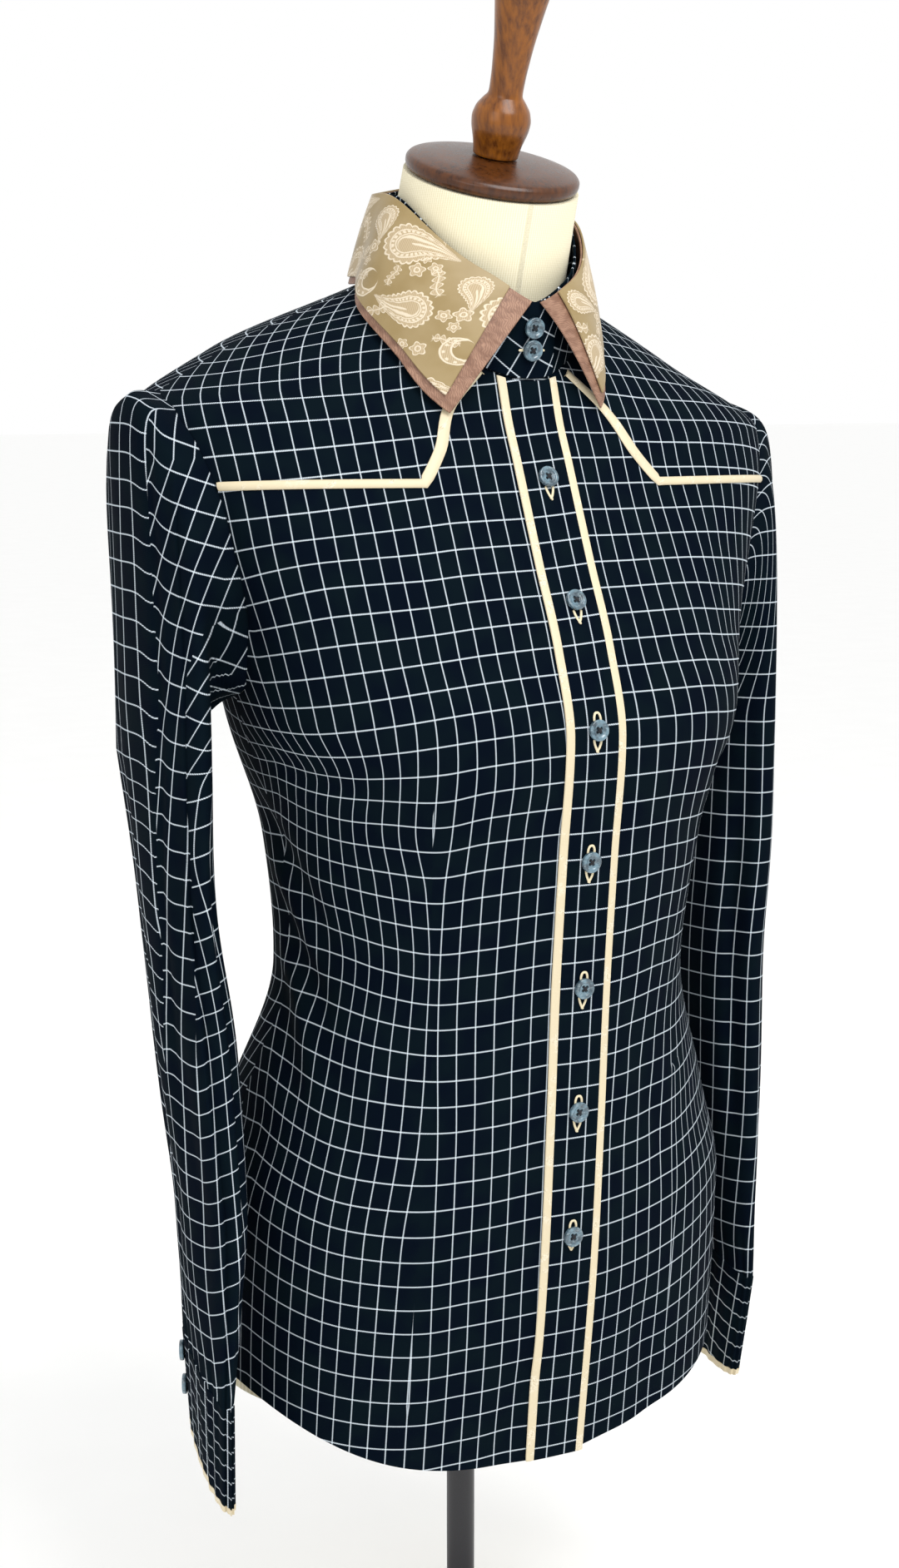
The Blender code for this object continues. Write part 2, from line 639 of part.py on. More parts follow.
def stand_angles():
    """Angles round the neck, at the same places as the panels' neck points."""
    start = angle_at(STAND_START_X, NECK)
    front = [angle_at(x, NECK) for x in (PLACKET_EDGE / 3, PLACKET_EDGE * 2 / 3, PLACKET_EDGE,
                                         YOKE_NECK_X)]
    side = [angle for angle, _ in run((front[-1], 0), (90, 0), ROWS_ABOVE_YOKE)]
    back = [angle for angle, _ in back_neck_points(COLUMNS_BACK_NECK)]
    mirrored = [360 - angle for angle in reversed(front[:-1] + side)]
    end = 360 + angle_at(STAND_OVERLAP_X, NECK)
    middle = [360, 360 + front[0], end - STAND_END_COLUMN, end]
    return [start] + front[:-1] + side + back + mirrored + middle


def stand_point(angle, height_share, out=0.0):
    """Points of the collar stand's outer face; out moves them away from the neck, in mm."""
    angle, height_share, out = np.broadcast_arrays(np.asarray(angle, float), height_share, out)
    base = torso_plain(angle, np.full(angle.shape, float(NECK)))
    folded = np.abs((angle + 180) % 360 - 180)
    on_left = np.sin(np.radians(angle)) > 0
    height = np.where(on_left, read_table(STAND_ROWS, STAND_COLUMNS, "left_height", folded),
                      read_table(STAND_ROWS, STAND_COLUMNS, "height", folded))
    spread = read_table(STAND_ROWS, STAND_COLUMNS, "spread", folded)
    forward = read_table(STAND_ROWS, STAND_COLUMNS, "forward", folded)
    turn = np.radians(angle)
    outward = np.stack([np.sin(turn), -np.cos(turn), np.zeros(turn.shape)], axis=-1)
    rise = (SEAM + height * height_share)[..., None] * np.array([0, 0, 1.0])
    tip = (forward * height_share)[..., None] * np.array([0, -1.0, 0])
    return base + rise + tip + (spread * height_share + out)[..., None] * outward


def stand_step(angle):
    """How far the wearer's right end of the stand stands out over the left end."""
    share = np.clip((np.asarray(angle) - STAND_STEP_FROM) / (STAND_STEP_TO - STAND_STEP_FROM), 0, 1)
    return STAND_STEP * share * share * (3 - 2 * share)


def make_collar_stand(finish):
    angles = np.array(stand_angles())
    shares = np.array(STAND_SHARES)
    top = np.ones(len(angles))
    top[-2:] = STAND_ROUND_END
    grid_angle = np.broadcast_to(angles, (len(shares), len(angles)))
    grid_share = shares[:, None] * top[None]
    step = stand_step(grid_angle)
    outer = stand_point(grid_angle, grid_share, step)
    inner = stand_point(grid_angle, grid_share, step - STAND_WALL)
    wall_solid("collar_stand", outer, inner, finish)


def collar_point(neck_angle, share, side):
    """Points of the collar fall from its fold (share 0) to its outer edge (share 1)."""
    neck_angle, share = np.broadcast_arrays(np.asarray(neck_angle, float), share)
    fold = stand_point(side * neck_angle, 1.0, STAND_STEP + COLLAR_STANDS_OFF + COLLAR_WALL)
    table = COLLAR_LEFT if side > 0 else COLLAR_RIGHT
    edge_angle = read_table(table, COLLAR_COLUMNS, "edge_angle", neck_angle)
    edge_level = read_table(table, COLLAR_COLUMNS, "edge_level", neck_angle)
    lift = read_table(table, COLLAR_COLUMNS, "lift", neck_angle)
    roll = read_table(table, COLLAR_COLUMNS, "roll", neck_angle)
    edge = torso(side * edge_angle, edge_level, lift)
    turn = np.radians(side * neck_angle)
    outward = np.stack([np.sin(turn), -np.cos(turn), np.full(turn.shape, ROLL_UP)], axis=-1)
    bulge = roll * 4 * share * (1 - share) * (1 - ROLL_TO_FOLD * share)
    return fold + (edge - fold) * share[..., None] + bulge[..., None] * outward


def offset_grid(points, out):
    """A grid of points moved along its own normals, in mm."""
    across = np.gradient(points, axis=1)
    along = np.gradient(points, axis=0)
    normal = np.cross(across, along)
    normal /= np.linalg.norm(normal, axis=-1, keepdims=True)
    return points + out * normal


def collar_grid():
    """Points round the collar, right tip to left tip; the last row is the outer edge."""
    halves = []
    shares = np.append(np.linspace(0, TOP_SHARE, COLLAR_ROWS - 1), 1.0)[:, None]
    inset = TOP_INSET_FOLD + (TOP_INSET_TIP - TOP_INSET_FOLD) * shares
    onward = np.linspace(0, 1, COLLAR_COLUMNS_HALF)[None, :] ** COLLAR_CROWD
    for side in (-1, 1):
        start = COLLAR_START + inset
        inner = start + (180 - start) * onward
        angles = np.concatenate([np.full(shares.shape, COLLAR_START), inner], axis=1)
        halves.append(collar_point(angles, shares * np.ones(angles.shape), side))
    right, left = halves
    return np.concatenate([right, left[:, -2::-1]], axis=1)


def make_collar(under, top):
    """The under collar, and the top collar lying on it a little short of its edges."""
    grid = collar_grid()
    wall_solid("collar_under", grid, offset_grid(grid, -COLLAR_WALL), under)
    low, high = offset_grid(grid, COLLAR_GAP), offset_grid(grid, COLLAR_GAP + COLLAR_WALL)
    wall_solid("collar_top", high[:-1, 1:-1], low[:-1, 1:-1], top)


def make_stand_buttons(finish):
    for number, height in enumerate(STAND_BUTTON_HEIGHTS, 1):
        share = height / STAND_ROWS[0][1]
        seat = stand_point(0, share, STAND_STEP + BUTTON_SEAT)
        low, high = stand_point(0, 0.0, STAND_STEP), stand_point(0, 1.0, STAND_STEP)
        normal = np.cross((1, 0, 0), (high - low) / np.linalg.norm(high - low))
        make_button(f"stand_button_{number}", seat, normal, finish)


# ------------------------------------------------------------------ sleeves

def sleeve_ring(table, drop, round_angle, out=0.0):
    """Points of a sleeve ring; round 0 is next to the body, 90 the front edge, 180 outside."""
    drop, round_angle, out = np.broadcast_arrays(np.asarray(drop, float), round_angle, out)
    row = {name: read_table(table, SLEEVE_COLUMNS, name, drop) for name in SLEEVE_COLUMNS}
    turn = np.radians(round_angle)
    pressed = np.zeros(drop.shape)
    for values in SLEEVE_CREASES:
        crease = dict(zip(SLEEVE_CREASE_COLUMNS, values))
        away = (round_angle - crease["round"] + 180) % 360 - 180
        pressed = pressed + crease["depth"] * np.exp(
            -(away / crease["half_round"]) ** 2
            - ((drop - crease["drop"]) / crease["half_drop"]) ** 4)
    grow = out - pressed
    thick, depth = row["half_thick"] + grow, row["half_depth"] + grow
    aside, forward = -thick * np.cos(turn), depth * np.sin(turn)
    tilt, turned = np.radians(row["tilt"]), np.radians(row["turn"])
    x = row["x"] + aside * np.cos(turned) + forward * np.sin(turned)
    y = row["y"] - (forward * np.cos(turned) - aside * np.sin(turned)) * np.cos(tilt)
    z = row["z"] - forward * np.sin(tilt)
    return np.stack([x, y, z], axis=-1)


def armhole_ring():
    """The armhole points all round, up the front and down the back, with ring angles."""
    front = armhole(0, YOKE_AT, ROWS_BESIDE_ARM, "front")[:-1]
    front += armhole(YOKE_AT, 1, ROWS_ABOVE_YOKE, "front")
    back = armhole(0, BACK_YOKE_AT, ROWS_BESIDE_ARM, "back")[:-1]
    back += armhole(BACK_YOKE_AT, 1, ROWS_ABOVE_YOKE, "back")
    front[0] = (90, UNDERARM)
    front[-1] = (90, SHOULDER)
    loop = np.array(front + back[-2:0:-1])
    points = torso(loop[:, 0], loop[:, 1])
    steps = np.linalg.norm(np.diff(points[:len(front)], axis=0), axis=1)
    rising = np.concatenate([[0], np.cumsum(steps)]) / steps.sum() * 180
    back_points = torso(np.array(back)[:, 0], np.array(back)[:, 1])
    steps = np.linalg.norm(np.diff(back_points, axis=0), axis=1)
    falling = 360 - np.concatenate([[0], np.cumsum(steps)]) / steps.sum() * 180
    return loop, np.concatenate([rising, falling[-2:0:-1]])


def sleeve_grid(side, table, cap, wall):
    """Outer and inner points of a sleeve, mirrored later for the right arm."""
    loop, around = armhole_ring()
    mirror = np.array([side, 1, 1])
    grids = []
    for out in (0.0, -wall):
        start = torso(side * loop[:, 0], loop[:, 1], out * CAP_INNER) * mirror
        start = start + np.array([CAP_CLEAR, 0, 0])
        centre = start.mean(axis=0)
        if out:
            inward = centre - start
            inward[:, 0] = 0
            start = start + inward / np.linalg.norm(inward, axis=1, keepdims=True) * wall
        end = sleeve_ring(table, 0.0, around, out)
        rise = np.clip((start[:, 2] - start[:, 2].min()) / np.ptp(start[:, 2]), 0, 1)[:, None]
        square = 2 / (cap["square_low"] + (cap["square_top"] - cap["square_low"]) * np.sqrt(rise))
        rings = []
        for turn in np.linspace(0, math.pi / 2, CAP_RINGS + 1)[:-1]:
            outward, downward = math.sin(turn) ** square, 1 - math.cos(turn) ** square
            ring = start + (end - start) * outward
            ring[:, 2:] = start[:, 2:] + (end - start)[:, 2:] * downward
            swell = cap["puff"] * math.sin(2 * turn) ** PUFF_POWER
            ring += swell * rise * np.array([1.0, 0, cap["puff_up"]])
            rings.append(ring)
        for drop in np.linspace(0, 1, SLEEVE_RINGS + 1):
            rings.append(sleeve_ring(table, drop, around, out))
        grids.append(np.stack(rings))
    return grids


def cuff_rings(table, cuff, drops_mm, out):
    """Rings that carry the sleeve's end on down, drops in mm below its seam."""
    _, around = armhole_ring()
    end = sleeve_ring(table, 1.0, around, out)
    centre = end.mean(axis=0)
    rings = []
    last = dict(zip(CUFF_COLUMNS, cuff[-1]))
    for drop in drops_mm:
        share = drop / CUFF_HEIGHT
        turn, tilt = math.radians(share * last["turn"]), math.radians(share * last["tilt"])
        x, y, z = (end - centre).T
        turned = np.stack([x * math.cos(turn) - y * math.sin(turn),
                           x * math.sin(turn) + y * math.cos(turn),
                           z + y * math.sin(tilt)], axis=-1)
        move = np.array([last["x"], last["y"], last["z"]]) * share
        rings.append(centre + turned + move)
    return np.stack(rings)


def make_sleeve(side, cloth, gold, button):
    label = "left" if side > 0 else "right"
    table, cuff = (SLEEVE_LEFT, CUFF_LEFT) if side > 0 else (SLEEVE_RIGHT, CUFF_RIGHT)
    mirror = np.array([side, 1, 1])
    outer, inner = sleeve_grid(side, table, CAP_LEFT if side > 0 else CAP_RIGHT, WALL)
    wall_solid(f"sleeve_{label}", outer * mirror, inner * mirror, cloth, ring=True)
    drops = np.linspace(SEAM, SEAM + CUFF_HEIGHT, CUFF_ROWS)
    outer = cuff_rings(table, cuff, drops, CUFF_OUT)
    inner = cuff_rings(table, cuff, drops, CUFF_OUT - CUFF_WALL)
    wall_solid(f"cuff_{label}", outer * mirror, inner * mirror, cloth, ring=True)
    start = 2 * SEAM + CUFF_HEIGHT
    drops = np.array([start, start + CUFF_PIPING])
    outer = cuff_rings(table, cuff, drops, CUFF_PIPING_OUT)
    inner = cuff_rings(table, cuff, drops, CUFF_PIPING_OUT - CUFF_WALL)
    wall_solid(f"cuff_piping_{label}", outer * mirror, inner * mirror, gold, ring=True)
    make_cuff_buttons(side, table, cuff, label, button)


def make_cuff_buttons(side, table, cuff, label, finish):
    """Two buttons one above the other on the outer back of the cuff."""
    mirror = np.array([side, 1, 1])
    _, around = armhole_ring()
    place = int(np.argmin(np.abs(around - CUFF_BUTTON_ROUND)))
    for number, drop in enumerate(CUFF_BUTTON_DROPS, 1):
        rings = cuff_rings(table, cuff, (drop - 1, drop + 1), CUFF_OUT)
        left, right = rings[:, place], rings[:, place + 1]
        middle = (left.mean(axis=0) + right.mean(axis=0)) / 2
        normal = np.cross(right[0] - left[0], left[1] - left[0])
        normal /= np.linalg.norm(normal)
        if np.dot(normal, middle - rings.mean(axis=(0, 1))) < 0:
            normal = -normal
        make_button(f"cuff_button_{label}_{number}", (middle + normal * BUTTON_SEAT) * mirror,
                    normal * mirror, finish)


# ------------------------------------------------------------------ dress form and stand

def lean(points):
    """Tip points forward round the cap's centre, the way the neck leans."""
    turn = math.radians(NECK_LEAN)
    x, y, z = points[..., 0], points[..., 1], points[..., 2]
    tipped = np.stack([x, y * math.cos(turn) - z * math.sin(turn),
                       y * math.sin(turn) + z * math.cos(turn)], axis=-1)
    return tipped + np.array(CAP_CENTRE, float)


def make_form(finish):
    angles = np.linspace(0, 360, ROUND_SIDES, endpoint=False)
    rings = []
    for level in FORM_LEVELS:
        ease = read_table(FORM_ROWS, FORM_COLUMNS, "ease", level)
        rings.append(torso(angles, float(level), -(WALL + ease)))
    rings[0][:, 2] = FORM_BOTTOM
    turn = np.radians(angles)
    for up, radius in NECK_ROWS:
        circle = np.stack([radius * np.sin(turn), -radius * np.cos(turn), np.full(turn.shape, float(up))],
                          axis=-1)
        rings.append(lean(circle - (0, 0, SEAM)))
    ring_solid("form_torso", np.stack(rings), finish)


def make_stand(wood, metal):
    turned_solid("form_cap", CAP_PROFILE, wood, lean)
    turned_solid("form_finial", FINIAL_PROFILE, wood, lean, FINIAL_SIDES)
    top = FORM_BOTTOM - SEAM
    pole = ((0, POLE_FOOT), (POLE_RADIUS, POLE_FOOT), (POLE_RADIUS, top), (0, top))
    turned_solid("stand_pole", pole, metal, sides=POLE_SIDES)
    turned_solid("stand_base", BASE_PROFILE, wood)


def clear_scene():
    for item in list(bpy.data.objects):
        bpy.data.objects.remove(item)


def main():
    clear_scene()
    cloth, gold, taupe, pearl, jersey, wood, metal = (make_finish(name) for name in FINISHES)
    for side in (-1, 1):
        make_front(side, cloth)
        make_front_yoke(side, cloth)
        make_yoke_piping(side, gold)
        make_sleeve(side, cloth, gold, pearl)
    make_back(cloth)
    make_back_yoke(cloth)
    make_placket(cloth, gold)
    make_placket_buttons(pearl)
    make_collar_stand(cloth)
    make_collar(taupe, gold)
    make_stand_buttons(pearl)
    make_form(jersey)
    make_stand(wood, metal)


main()
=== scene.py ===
"""Looks for a western shirt on its dress form.

Millimetres and degrees; MM turns them into metres.  The shirt's surfaces are worked out
from the same sizes as the solids, with finer grids and the smaller creases added.
"""
import functools
import math

import bmesh
import bpy
import numpy as np
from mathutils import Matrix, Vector


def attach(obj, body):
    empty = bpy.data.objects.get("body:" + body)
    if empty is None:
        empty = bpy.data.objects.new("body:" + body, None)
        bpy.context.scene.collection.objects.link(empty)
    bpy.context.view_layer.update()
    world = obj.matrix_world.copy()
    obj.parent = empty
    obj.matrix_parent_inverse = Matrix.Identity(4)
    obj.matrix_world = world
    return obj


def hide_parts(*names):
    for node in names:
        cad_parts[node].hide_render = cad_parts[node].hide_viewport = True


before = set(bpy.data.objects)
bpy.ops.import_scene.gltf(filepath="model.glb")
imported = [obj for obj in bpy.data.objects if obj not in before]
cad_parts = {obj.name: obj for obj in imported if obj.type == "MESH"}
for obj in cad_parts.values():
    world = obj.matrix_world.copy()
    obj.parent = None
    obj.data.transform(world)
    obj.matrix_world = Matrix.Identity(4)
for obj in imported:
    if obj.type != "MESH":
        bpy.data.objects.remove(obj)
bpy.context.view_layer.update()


class Table:
    """Rows of numbers under named columns."""

    def __init__(self, columns, *rows):
        self.columns, self.rows = columns.split(), rows

    def read(self, name, at):
        """One column, read smoothly at values of the first column."""
        x = np.array([row[0] for row in self.rows], float)
        y = np.array([row[self.columns.index(name)] for row in self.rows], float)
        step = np.diff(x)
        slope = np.diff(y) / step
        tangent = np.concatenate([slope[:1], np.zeros(len(slope) - 1), slope[-1:]])
        for k in range(1, len(slope)):
            before, after = slope[k - 1], slope[k]
            if before * after > 0:
                weight_b, weight_a = 2 * step[k] + step[k - 1], step[k] + 2 * step[k - 1]
                tangent[k] = (weight_a + weight_b) / (weight_b / before + weight_a / after)
        at = np.clip(at, x[0], x[-1])
        k = np.clip(np.searchsorted(x, at, side="right") - 1, 0, len(step) - 1)
        return curve(y[k], y[k + 1], step[k] * tangent[k], step[k] * tangent[k + 1], (at - x[k]) / step[k])

    def every(self, at):
        """All columns but the first, by name."""
        return {name: self.read(name, at) for name in self.columns[1:]}

    def each(self):
        """The rows one by one, their values by name."""
        return [dict(zip(self.columns, row)) for row in self.rows]


def curve(start, end, rise_start, rise_end, u):
    """A smooth curve between two values with given slopes, for u from 0 to 1."""
    return (start * (1 + 2 * u) * (1 - u) ** 2 + end * u * u * (3 - 2 * u)
            + rise_start * u * (1 - u) ** 2 + rise_end * u * u * (u - 1))


MM = 0.001
SIDES = ((-1, "right"), (1, "left"))    # the wearer's sides
SMOOTH_TO = 40           # degrees: a sharper bend shows as an edge
FINE = 7                 # columns for each column of the solids
FINE_ROWS = 10

# ---- cloth ----
WALL = 1.2
CUFF_WALL = 1.8
SEAM = 0.3
LAY_GAP = 0.5            # between a panel and what lies on it
LAY_TOP = LAY_GAP + WALL
EDGE_ROUND = 0.35        # how far a cut edge swells, for 1 of the wall
STRIP_DROP = 2.2         # what lies on the front stops this far below the neck seam

# ---- torso: one row for each girth line ----
TORSO = Table("level side_z back_z half_width side_y front_y back_y front_square back_square",
    (192, 244, 232, 171, 4, -116, 130, 2.25, 2.2),     # hem
    (330, 346, 340, 169, -3, -133, 117, 2.2, 2.2),     # hip
    (400, 406, 404, 153, 1, -138, 93, 2.2, 2.3),       # high hip
    (490, 492, 490, 131, -15, -144, 62, 2.0, 2.3),     # waist
    (570, 572, 570, 138, -22, -151, 74, 2.1, 2.3),     # under bust
    (640, 644, 645, 158, -16, -158, 90, 2.45, 2.3),    # bust
    (690, 700, 700, 169, -11, -144, 98, 2.45, 2.3),    # above the bust
    (740, 758, 765, 190, -10, -121, 98, 2.4, 2.4),     # chest
    (795, 817, 854, 212, 4, -97, 97, 2.05, 2.8),       # shoulder tip
    (820, 858, 890, 152, 21, -86, 95, 2.0, 2.6),       # mid shoulder
    (845, 899, 906, 68, 0, -79, 50, 2.0, 2.0),         # neck seam
)
HEM = 192
HEM_CURVE_TOP = 330      # below this girth line the hem curve draws in towards the sides
SIDE_POWER = 2           # a girth line rises towards the sides by this power of the sine
SIDE_POWER_HEM = 6       # and by this one along the hem
UNDERARM = 654
SHOULDER = 806
NECK = 845
SHOULDER_SINK = 0.022     # the left shoulder hangs lower than the right, from this level up
SINK_FROM = 740

# ---- the left front hangs a little shorter between the placket and the side seam ----
HEM_LIFT = Table("angle lift", (-90, 0), (0, 0), (20, 7), (40, 13), (65, 8), (90, 3))

# ---- main creases pressed into the torso: troughs, one row each ----
CREASE_ARC = 2.6         # mm of girth to a degree
CREASES = Table("angle level lean half_length half_breadth depth",
    (-84, 553, -41, 48, 11, 4.0),      # drag lines under the right bust dart
    (-81, 498, -41, 48, 11, 4.0),
    (-81, 446, -41, 45, 11, 3.5),
    (-66, 612, -80, 40, 9, 2.5),       # dent along the dart
    (66, 590, -60, 55, 11, 2.5),       # the same on the left side
    (76, 535, -42, 60, 12, 3.0),
    (150, 500, 80, 60, 12, 3.0),       # hollow of the back
    (-152, 520, -78, 60, 12, 3.0),
    (-14, 225, 20, 35, 16, 2.5),       # hem, beside the placket
    (-85, 526, -41, 44, 7, -1.6),      # soft ridges between the drag lines
    (-82, 472, -41, 44, 7, -1.6),
    (-59, 420, -30, 40, 9, 1.2),
    (24, 412, -20, 60, 9, 1.2),
    (-24, 412, 24, 50, 9, 1.2),
    (-79, 697, -30, 30, 8, 1.6),
    (30, 240, -15, 45, 12, 1.6),
)

# ---- armhole seam from the underarm (0) to the shoulder tip (1) ----
ARMHOLE = Table("along level front_angle back_angle",
    (0.00, 654, 90, 90),
    (0.10, 659, 85, 97),
    (0.25, 684, 80, 104),
    (0.45, 722, 76.5, 109),
    (0.62, 755, 76.5, 109),
    (0.80, 784, 78, 106),
    (0.93, 800, 82, 98),
    (1.00, 806, 90, 90),
)
YOKE_AT = 0.68           # where the front yoke seam meets the armhole
BACK_YOKE_AT = 0.72

# ---- how finely the panels are cut ----
ROWS_BELOW_ARM = 13 * FINE_ROWS
ROWS_BESIDE_ARM = 6 * FINE_ROWS
ROWS_ABOVE_YOKE = 4 * FINE
COLUMNS_ON_SLANT = 3 * FINE
COLUMNS_ON_YOKE = 6 * FINE
COLUMNS_SHOULDER = COLUMNS_ON_SLANT + COLUMNS_ON_YOKE
COLUMNS_BACK_NECK = 8 * FINE
COLUMNS_BACK = 2 * COLUMNS_SHOULDER + COLUMNS_BACK_NECK

# ---- placket and its buttons ----
PLACKET_HALF = 14.6
STRIPE = 5.0
PLACKET_EDGE = PLACKET_HALF + SEAM + STRIPE
UPRIGHT_TO = PLACKET_EDGE + 0.5   # the fronts' columns stand upright as far as this
UPRIGHT_COLUMNS = 2 * FINE
FRONTS_MEET = -10.0      # the two fronts meet under the placket
BUTTON_LEVELS = (787, 717, 645, 567.5, 491, 415, 337)
BUTTON_RADIUS = 6.3
BUTTON_THICK = 2.6
BUTTON_EDGE = 0.7        # rounding of the outer edge
BUTTON_RIM = 0.9
BUTTON_DISH = 0.7
BUTTON_SLOPE = 2.3       # from the outer edge to the dish's floor
BUTTON_HOLLOW = 0.18     # and how much the floor sinks on to its middle
BUTTON_FINE = 72
BUTTON_TURN = 8          # degrees that the four holes are turned
HOLE_AT = 1.75
HOLE_RADIUS = 0.75
HOLE_SLOPE = (0.7, 1.25)  # shares of the radius between which a hole's edge slopes
HOLE_DEEP = 1.1
BINDING_HALF = 0.75      # half breadth of a buttonhole's cream binding
STAND_BINDING = (0.8, 3.4)  # the stand's: it starts under the button's edge and runs on this far
HOLE_BELOW = (           # the two ends of the binding cross below the button
    ((-2.5, -5.0), (-1.8, -8.0), (-0.6, -10.8), (0.7, -12.9)),
    ((2.5, -5.0), (1.8, -8.0), (0.5, -10.8), (-0.9, -12.4)),
)
HOLE_ABOVE = ((-2.2, 5.0), (-2.0, 7.6), (-1.0, 9.5), (1.0, 9.5), (2.0, 7.6), (2.2, 5.0))
HOLE_ABOVE_FROM = 3      # the first button whose loop shows above it
HOLE_LAST_SHORTER = 0.72
THREAD_HALF = 0.34       # half breadth of the sewing thread
THREAD_APART = 0.32
BUTTON_SEAT = 0.6        # between the cloth and the button's underside

# ---- yoke ----
YOKE_NECK_X = 27
YOKE_CORNER_X = 80
YOKE_CORNER_LEVEL = 777
YOKE_NECK_GAP = 0.25     # degrees on each side of the seam, at the neck
PIPING = 4.5
PIPING_ARC = 1.66        # mm of girth to a degree, along the slanted part
PIPING_SLANT = 0.3       # the slanted edges also shift in level, for 1 aside
PIPING_MITRE = 0.4       # share of the slanted shift at the corner
PIPING_NECK_DROP = 4
PIPING_ARM_GAP = 0.4     # degrees short of the armhole

# ---- collar ----
STAND_WALL = 1.5
STAND = Table("angle height left_height spread forward",
    (0, 43, 43, 7, 0),
    (20, 54, 50, 3, 0),
    (50, 57, 49, -4, 4),
    (90, 52, 46, -10, 12),
    (180, 55, 55, -7, 14),
)
STAND_START_X = -4       # the left end starts here, under the right end
STAND_OVERLAP_X = 17
STAND_END_LOW = 0.62     # height of the rounded end, for 1 of the stand's
STAND_END_COLUMN = 3     # degrees that the rounded end takes up
STAND_STEP = 2.0         # the right end steps out to pass over the left end
STAND_STEP_FROM = 300    # degrees round the neck
STAND_STEP_TO = 345
COLLAR_COLUMNS = "neck_angle edge_angle edge_level lift roll"
COLLAR = {-1: Table(COLLAR_COLUMNS,
    (2, 29, 814, 5, 4),
    (30, 47, 831, 5, 4),
    (60, 68, 838, 4, 3),
    (90, 92, 844, 2.5, 1),
    (135, 137, 844, 2.5, 1),
    (180, 180, 840, 4, 2),
), 1: Table(COLLAR_COLUMNS,
    (2, 25, 820, 5, 4),
    (30, 38, 836, 5, 3),
    (60, 61, 842.5, 4, 1),
    (90, 90, 844, 2.5, 1),
    (135, 137, 844, 2.5, 1),
    (180, 180, 840, 4, 2),
)}
COLLAR_WALL = 1.2
COLLAR_GAP = 0.5
COLLAR_STANDS_OFF = 0.6   # between the stand and the fall at the fold
COLLAR_START = 2.0       # neck angle of the wings' front edges
COLLAR_ROWS = 36
COLLAR_COLUMNS_HALF = 90
COLLAR_CROWD = 1.15      # crowds the columns towards the wings
ROLL_UP = 0.6            # the fall bulges up by this much for 1 outwards
ROLL_TO_FOLD = 0.4       # and less towards its edge by this share
TOP_INSET_FOLD = 9.0     # the top collar stops short of the front edge, in degrees
TOP_INSET_TIP = 4.0
TOP_SHARE = 0.925        # and short of the outer edge
STAND_BUTTON_HEIGHTS = (16, 29)

# ---- sleeves: rings from the biceps to the cuff seam; x is measured outwards ----
SLEEVE_COLUMNS = "drop z x y half_depth half_thick turn tilt"
SLEEVE = {-1: Table(SLEEVE_COLUMNS,
    (0.00, 625, 204, -4, 58, 18, 0, 0),
    (0.25, 538, 200, -9, 57, 18, 5, 1),
    (0.50, 459, 194, -17, 56, 21, 5, 3),
    (0.72, 370, 191, -32, 53, 17, 6, 8),
    (0.86, 316, 197, -45, 49, 12, 6, 14),
    (1.00, 268, 204, -57, 45, 7, 6, 20),
), 1: Table(SLEEVE_COLUMNS,
    (0.00, 625, 201, 12, 60, 26, 0, 0),
    (0.25, 538, 197, 8, 57, 30, 0, 0),
    (0.50, 459, 194, 8, 55, 25, 0, 0),
    (0.72, 370, 196, 8, 54, 21, 0, 3),
    (0.86, 317, 197, 6, 51, 16, 0, 10),
    (1.00, 270, 195, -4, 47, 10, 0, 23),
)}
CUFF_HEIGHT = 80
CUFF = {-1: {"move": (-11, 20, -67), "turn": 3, "tilt": 2},      # at the cuff's lower end
        1: {"move": (10, 15, -80), "turn": -13, "tilt": -16}}
CUFF_PIPING = 4.5
CUFF_OUT = 0.6           # the cuff's face lies this far outside the sleeve's
CUFF_PIPING_OUT = 0.8
CUFF_ROWS = 24
CUFF_BUTTON_ROUND = 232  # ring angle
CUFF_BUTTON_DROPS = (20, 50)
CUFF_BUTTON_COLUMNS = (-3, 4)   # the columns beside it that its seat is levelled on
SLEEVE_RINGS = 9 * FINE_ROWS
CAP_RINGS = 6 * FINE
CAP_CLEAR = 0.2          # between the armhole and the sleeve head
CAP_INNER = 0.3          # the head's inner face starts this share of its wall further in
PUFF_POWER = 0.7         # a smaller power spreads the head's puff further
CAP = {-1: {"square_top": 9.0, "square_low": 1.6, "puff": 6.0, "puff_up": 0.25},
       1: {"square_top": 4.0, "square_low": 1.6, "puff": 0.0, "puff_up": 1.0}}

SLEEVE_FOLD_COLUMNS = "round turn drop half_drop inner outer depth"
SLEEVE_FOLDS = {0: Table(SLEEVE_FOLD_COLUMNS,
    (128, 0, 0.15, 0.30, 14, 14, 4.0),
    (60, 0, 0.45, 0.30, 12, 12, 5.0),
    (150, 0, 0.60, 0.25, 12, 12, 3.0),
    (215, 0, 0.30, 0.30, 16, 16, 4.0),
    (300, 0, 0.50, 0.30, 16, 16, 4.0),
), -1: Table(SLEEVE_FOLD_COLUMNS,  # outer and inner are the half breadths on the fold's two sides
    (152, 22, 0.10, 0.55, 6, 4, 3.0),       # trough down the front of the outer face
    (114, -6, 0.45, 0.60, 26, 3, 4.5),      # sharp edge, with the cloth behind it set back
    (200, 14, 0.55, 0.30, 9, 5, 1.6),
    (240, -20, 0.35, 0.30, 12, 6, 2.0),
    (70, 30, 0.80, 0.20, 9, 7, 1.5),
), 1: Table(SLEEVE_FOLD_COLUMNS,
    (118, 25, 0.80, 0.16, 7, 5, 1.8),       # pleat above the cuff
    (140, -20, 0.55, 0.30, 10, 7, 1.0),
    (225, 15, 0.40, 0.30, 9, 6, 1.6),
    (70, 10, 0.30, 0.30, 12, 8, 1.5),
)}
GATHERS = 23             # small gathers round the sleeve, above its cuff
GATHER_DEPTH = 0.5
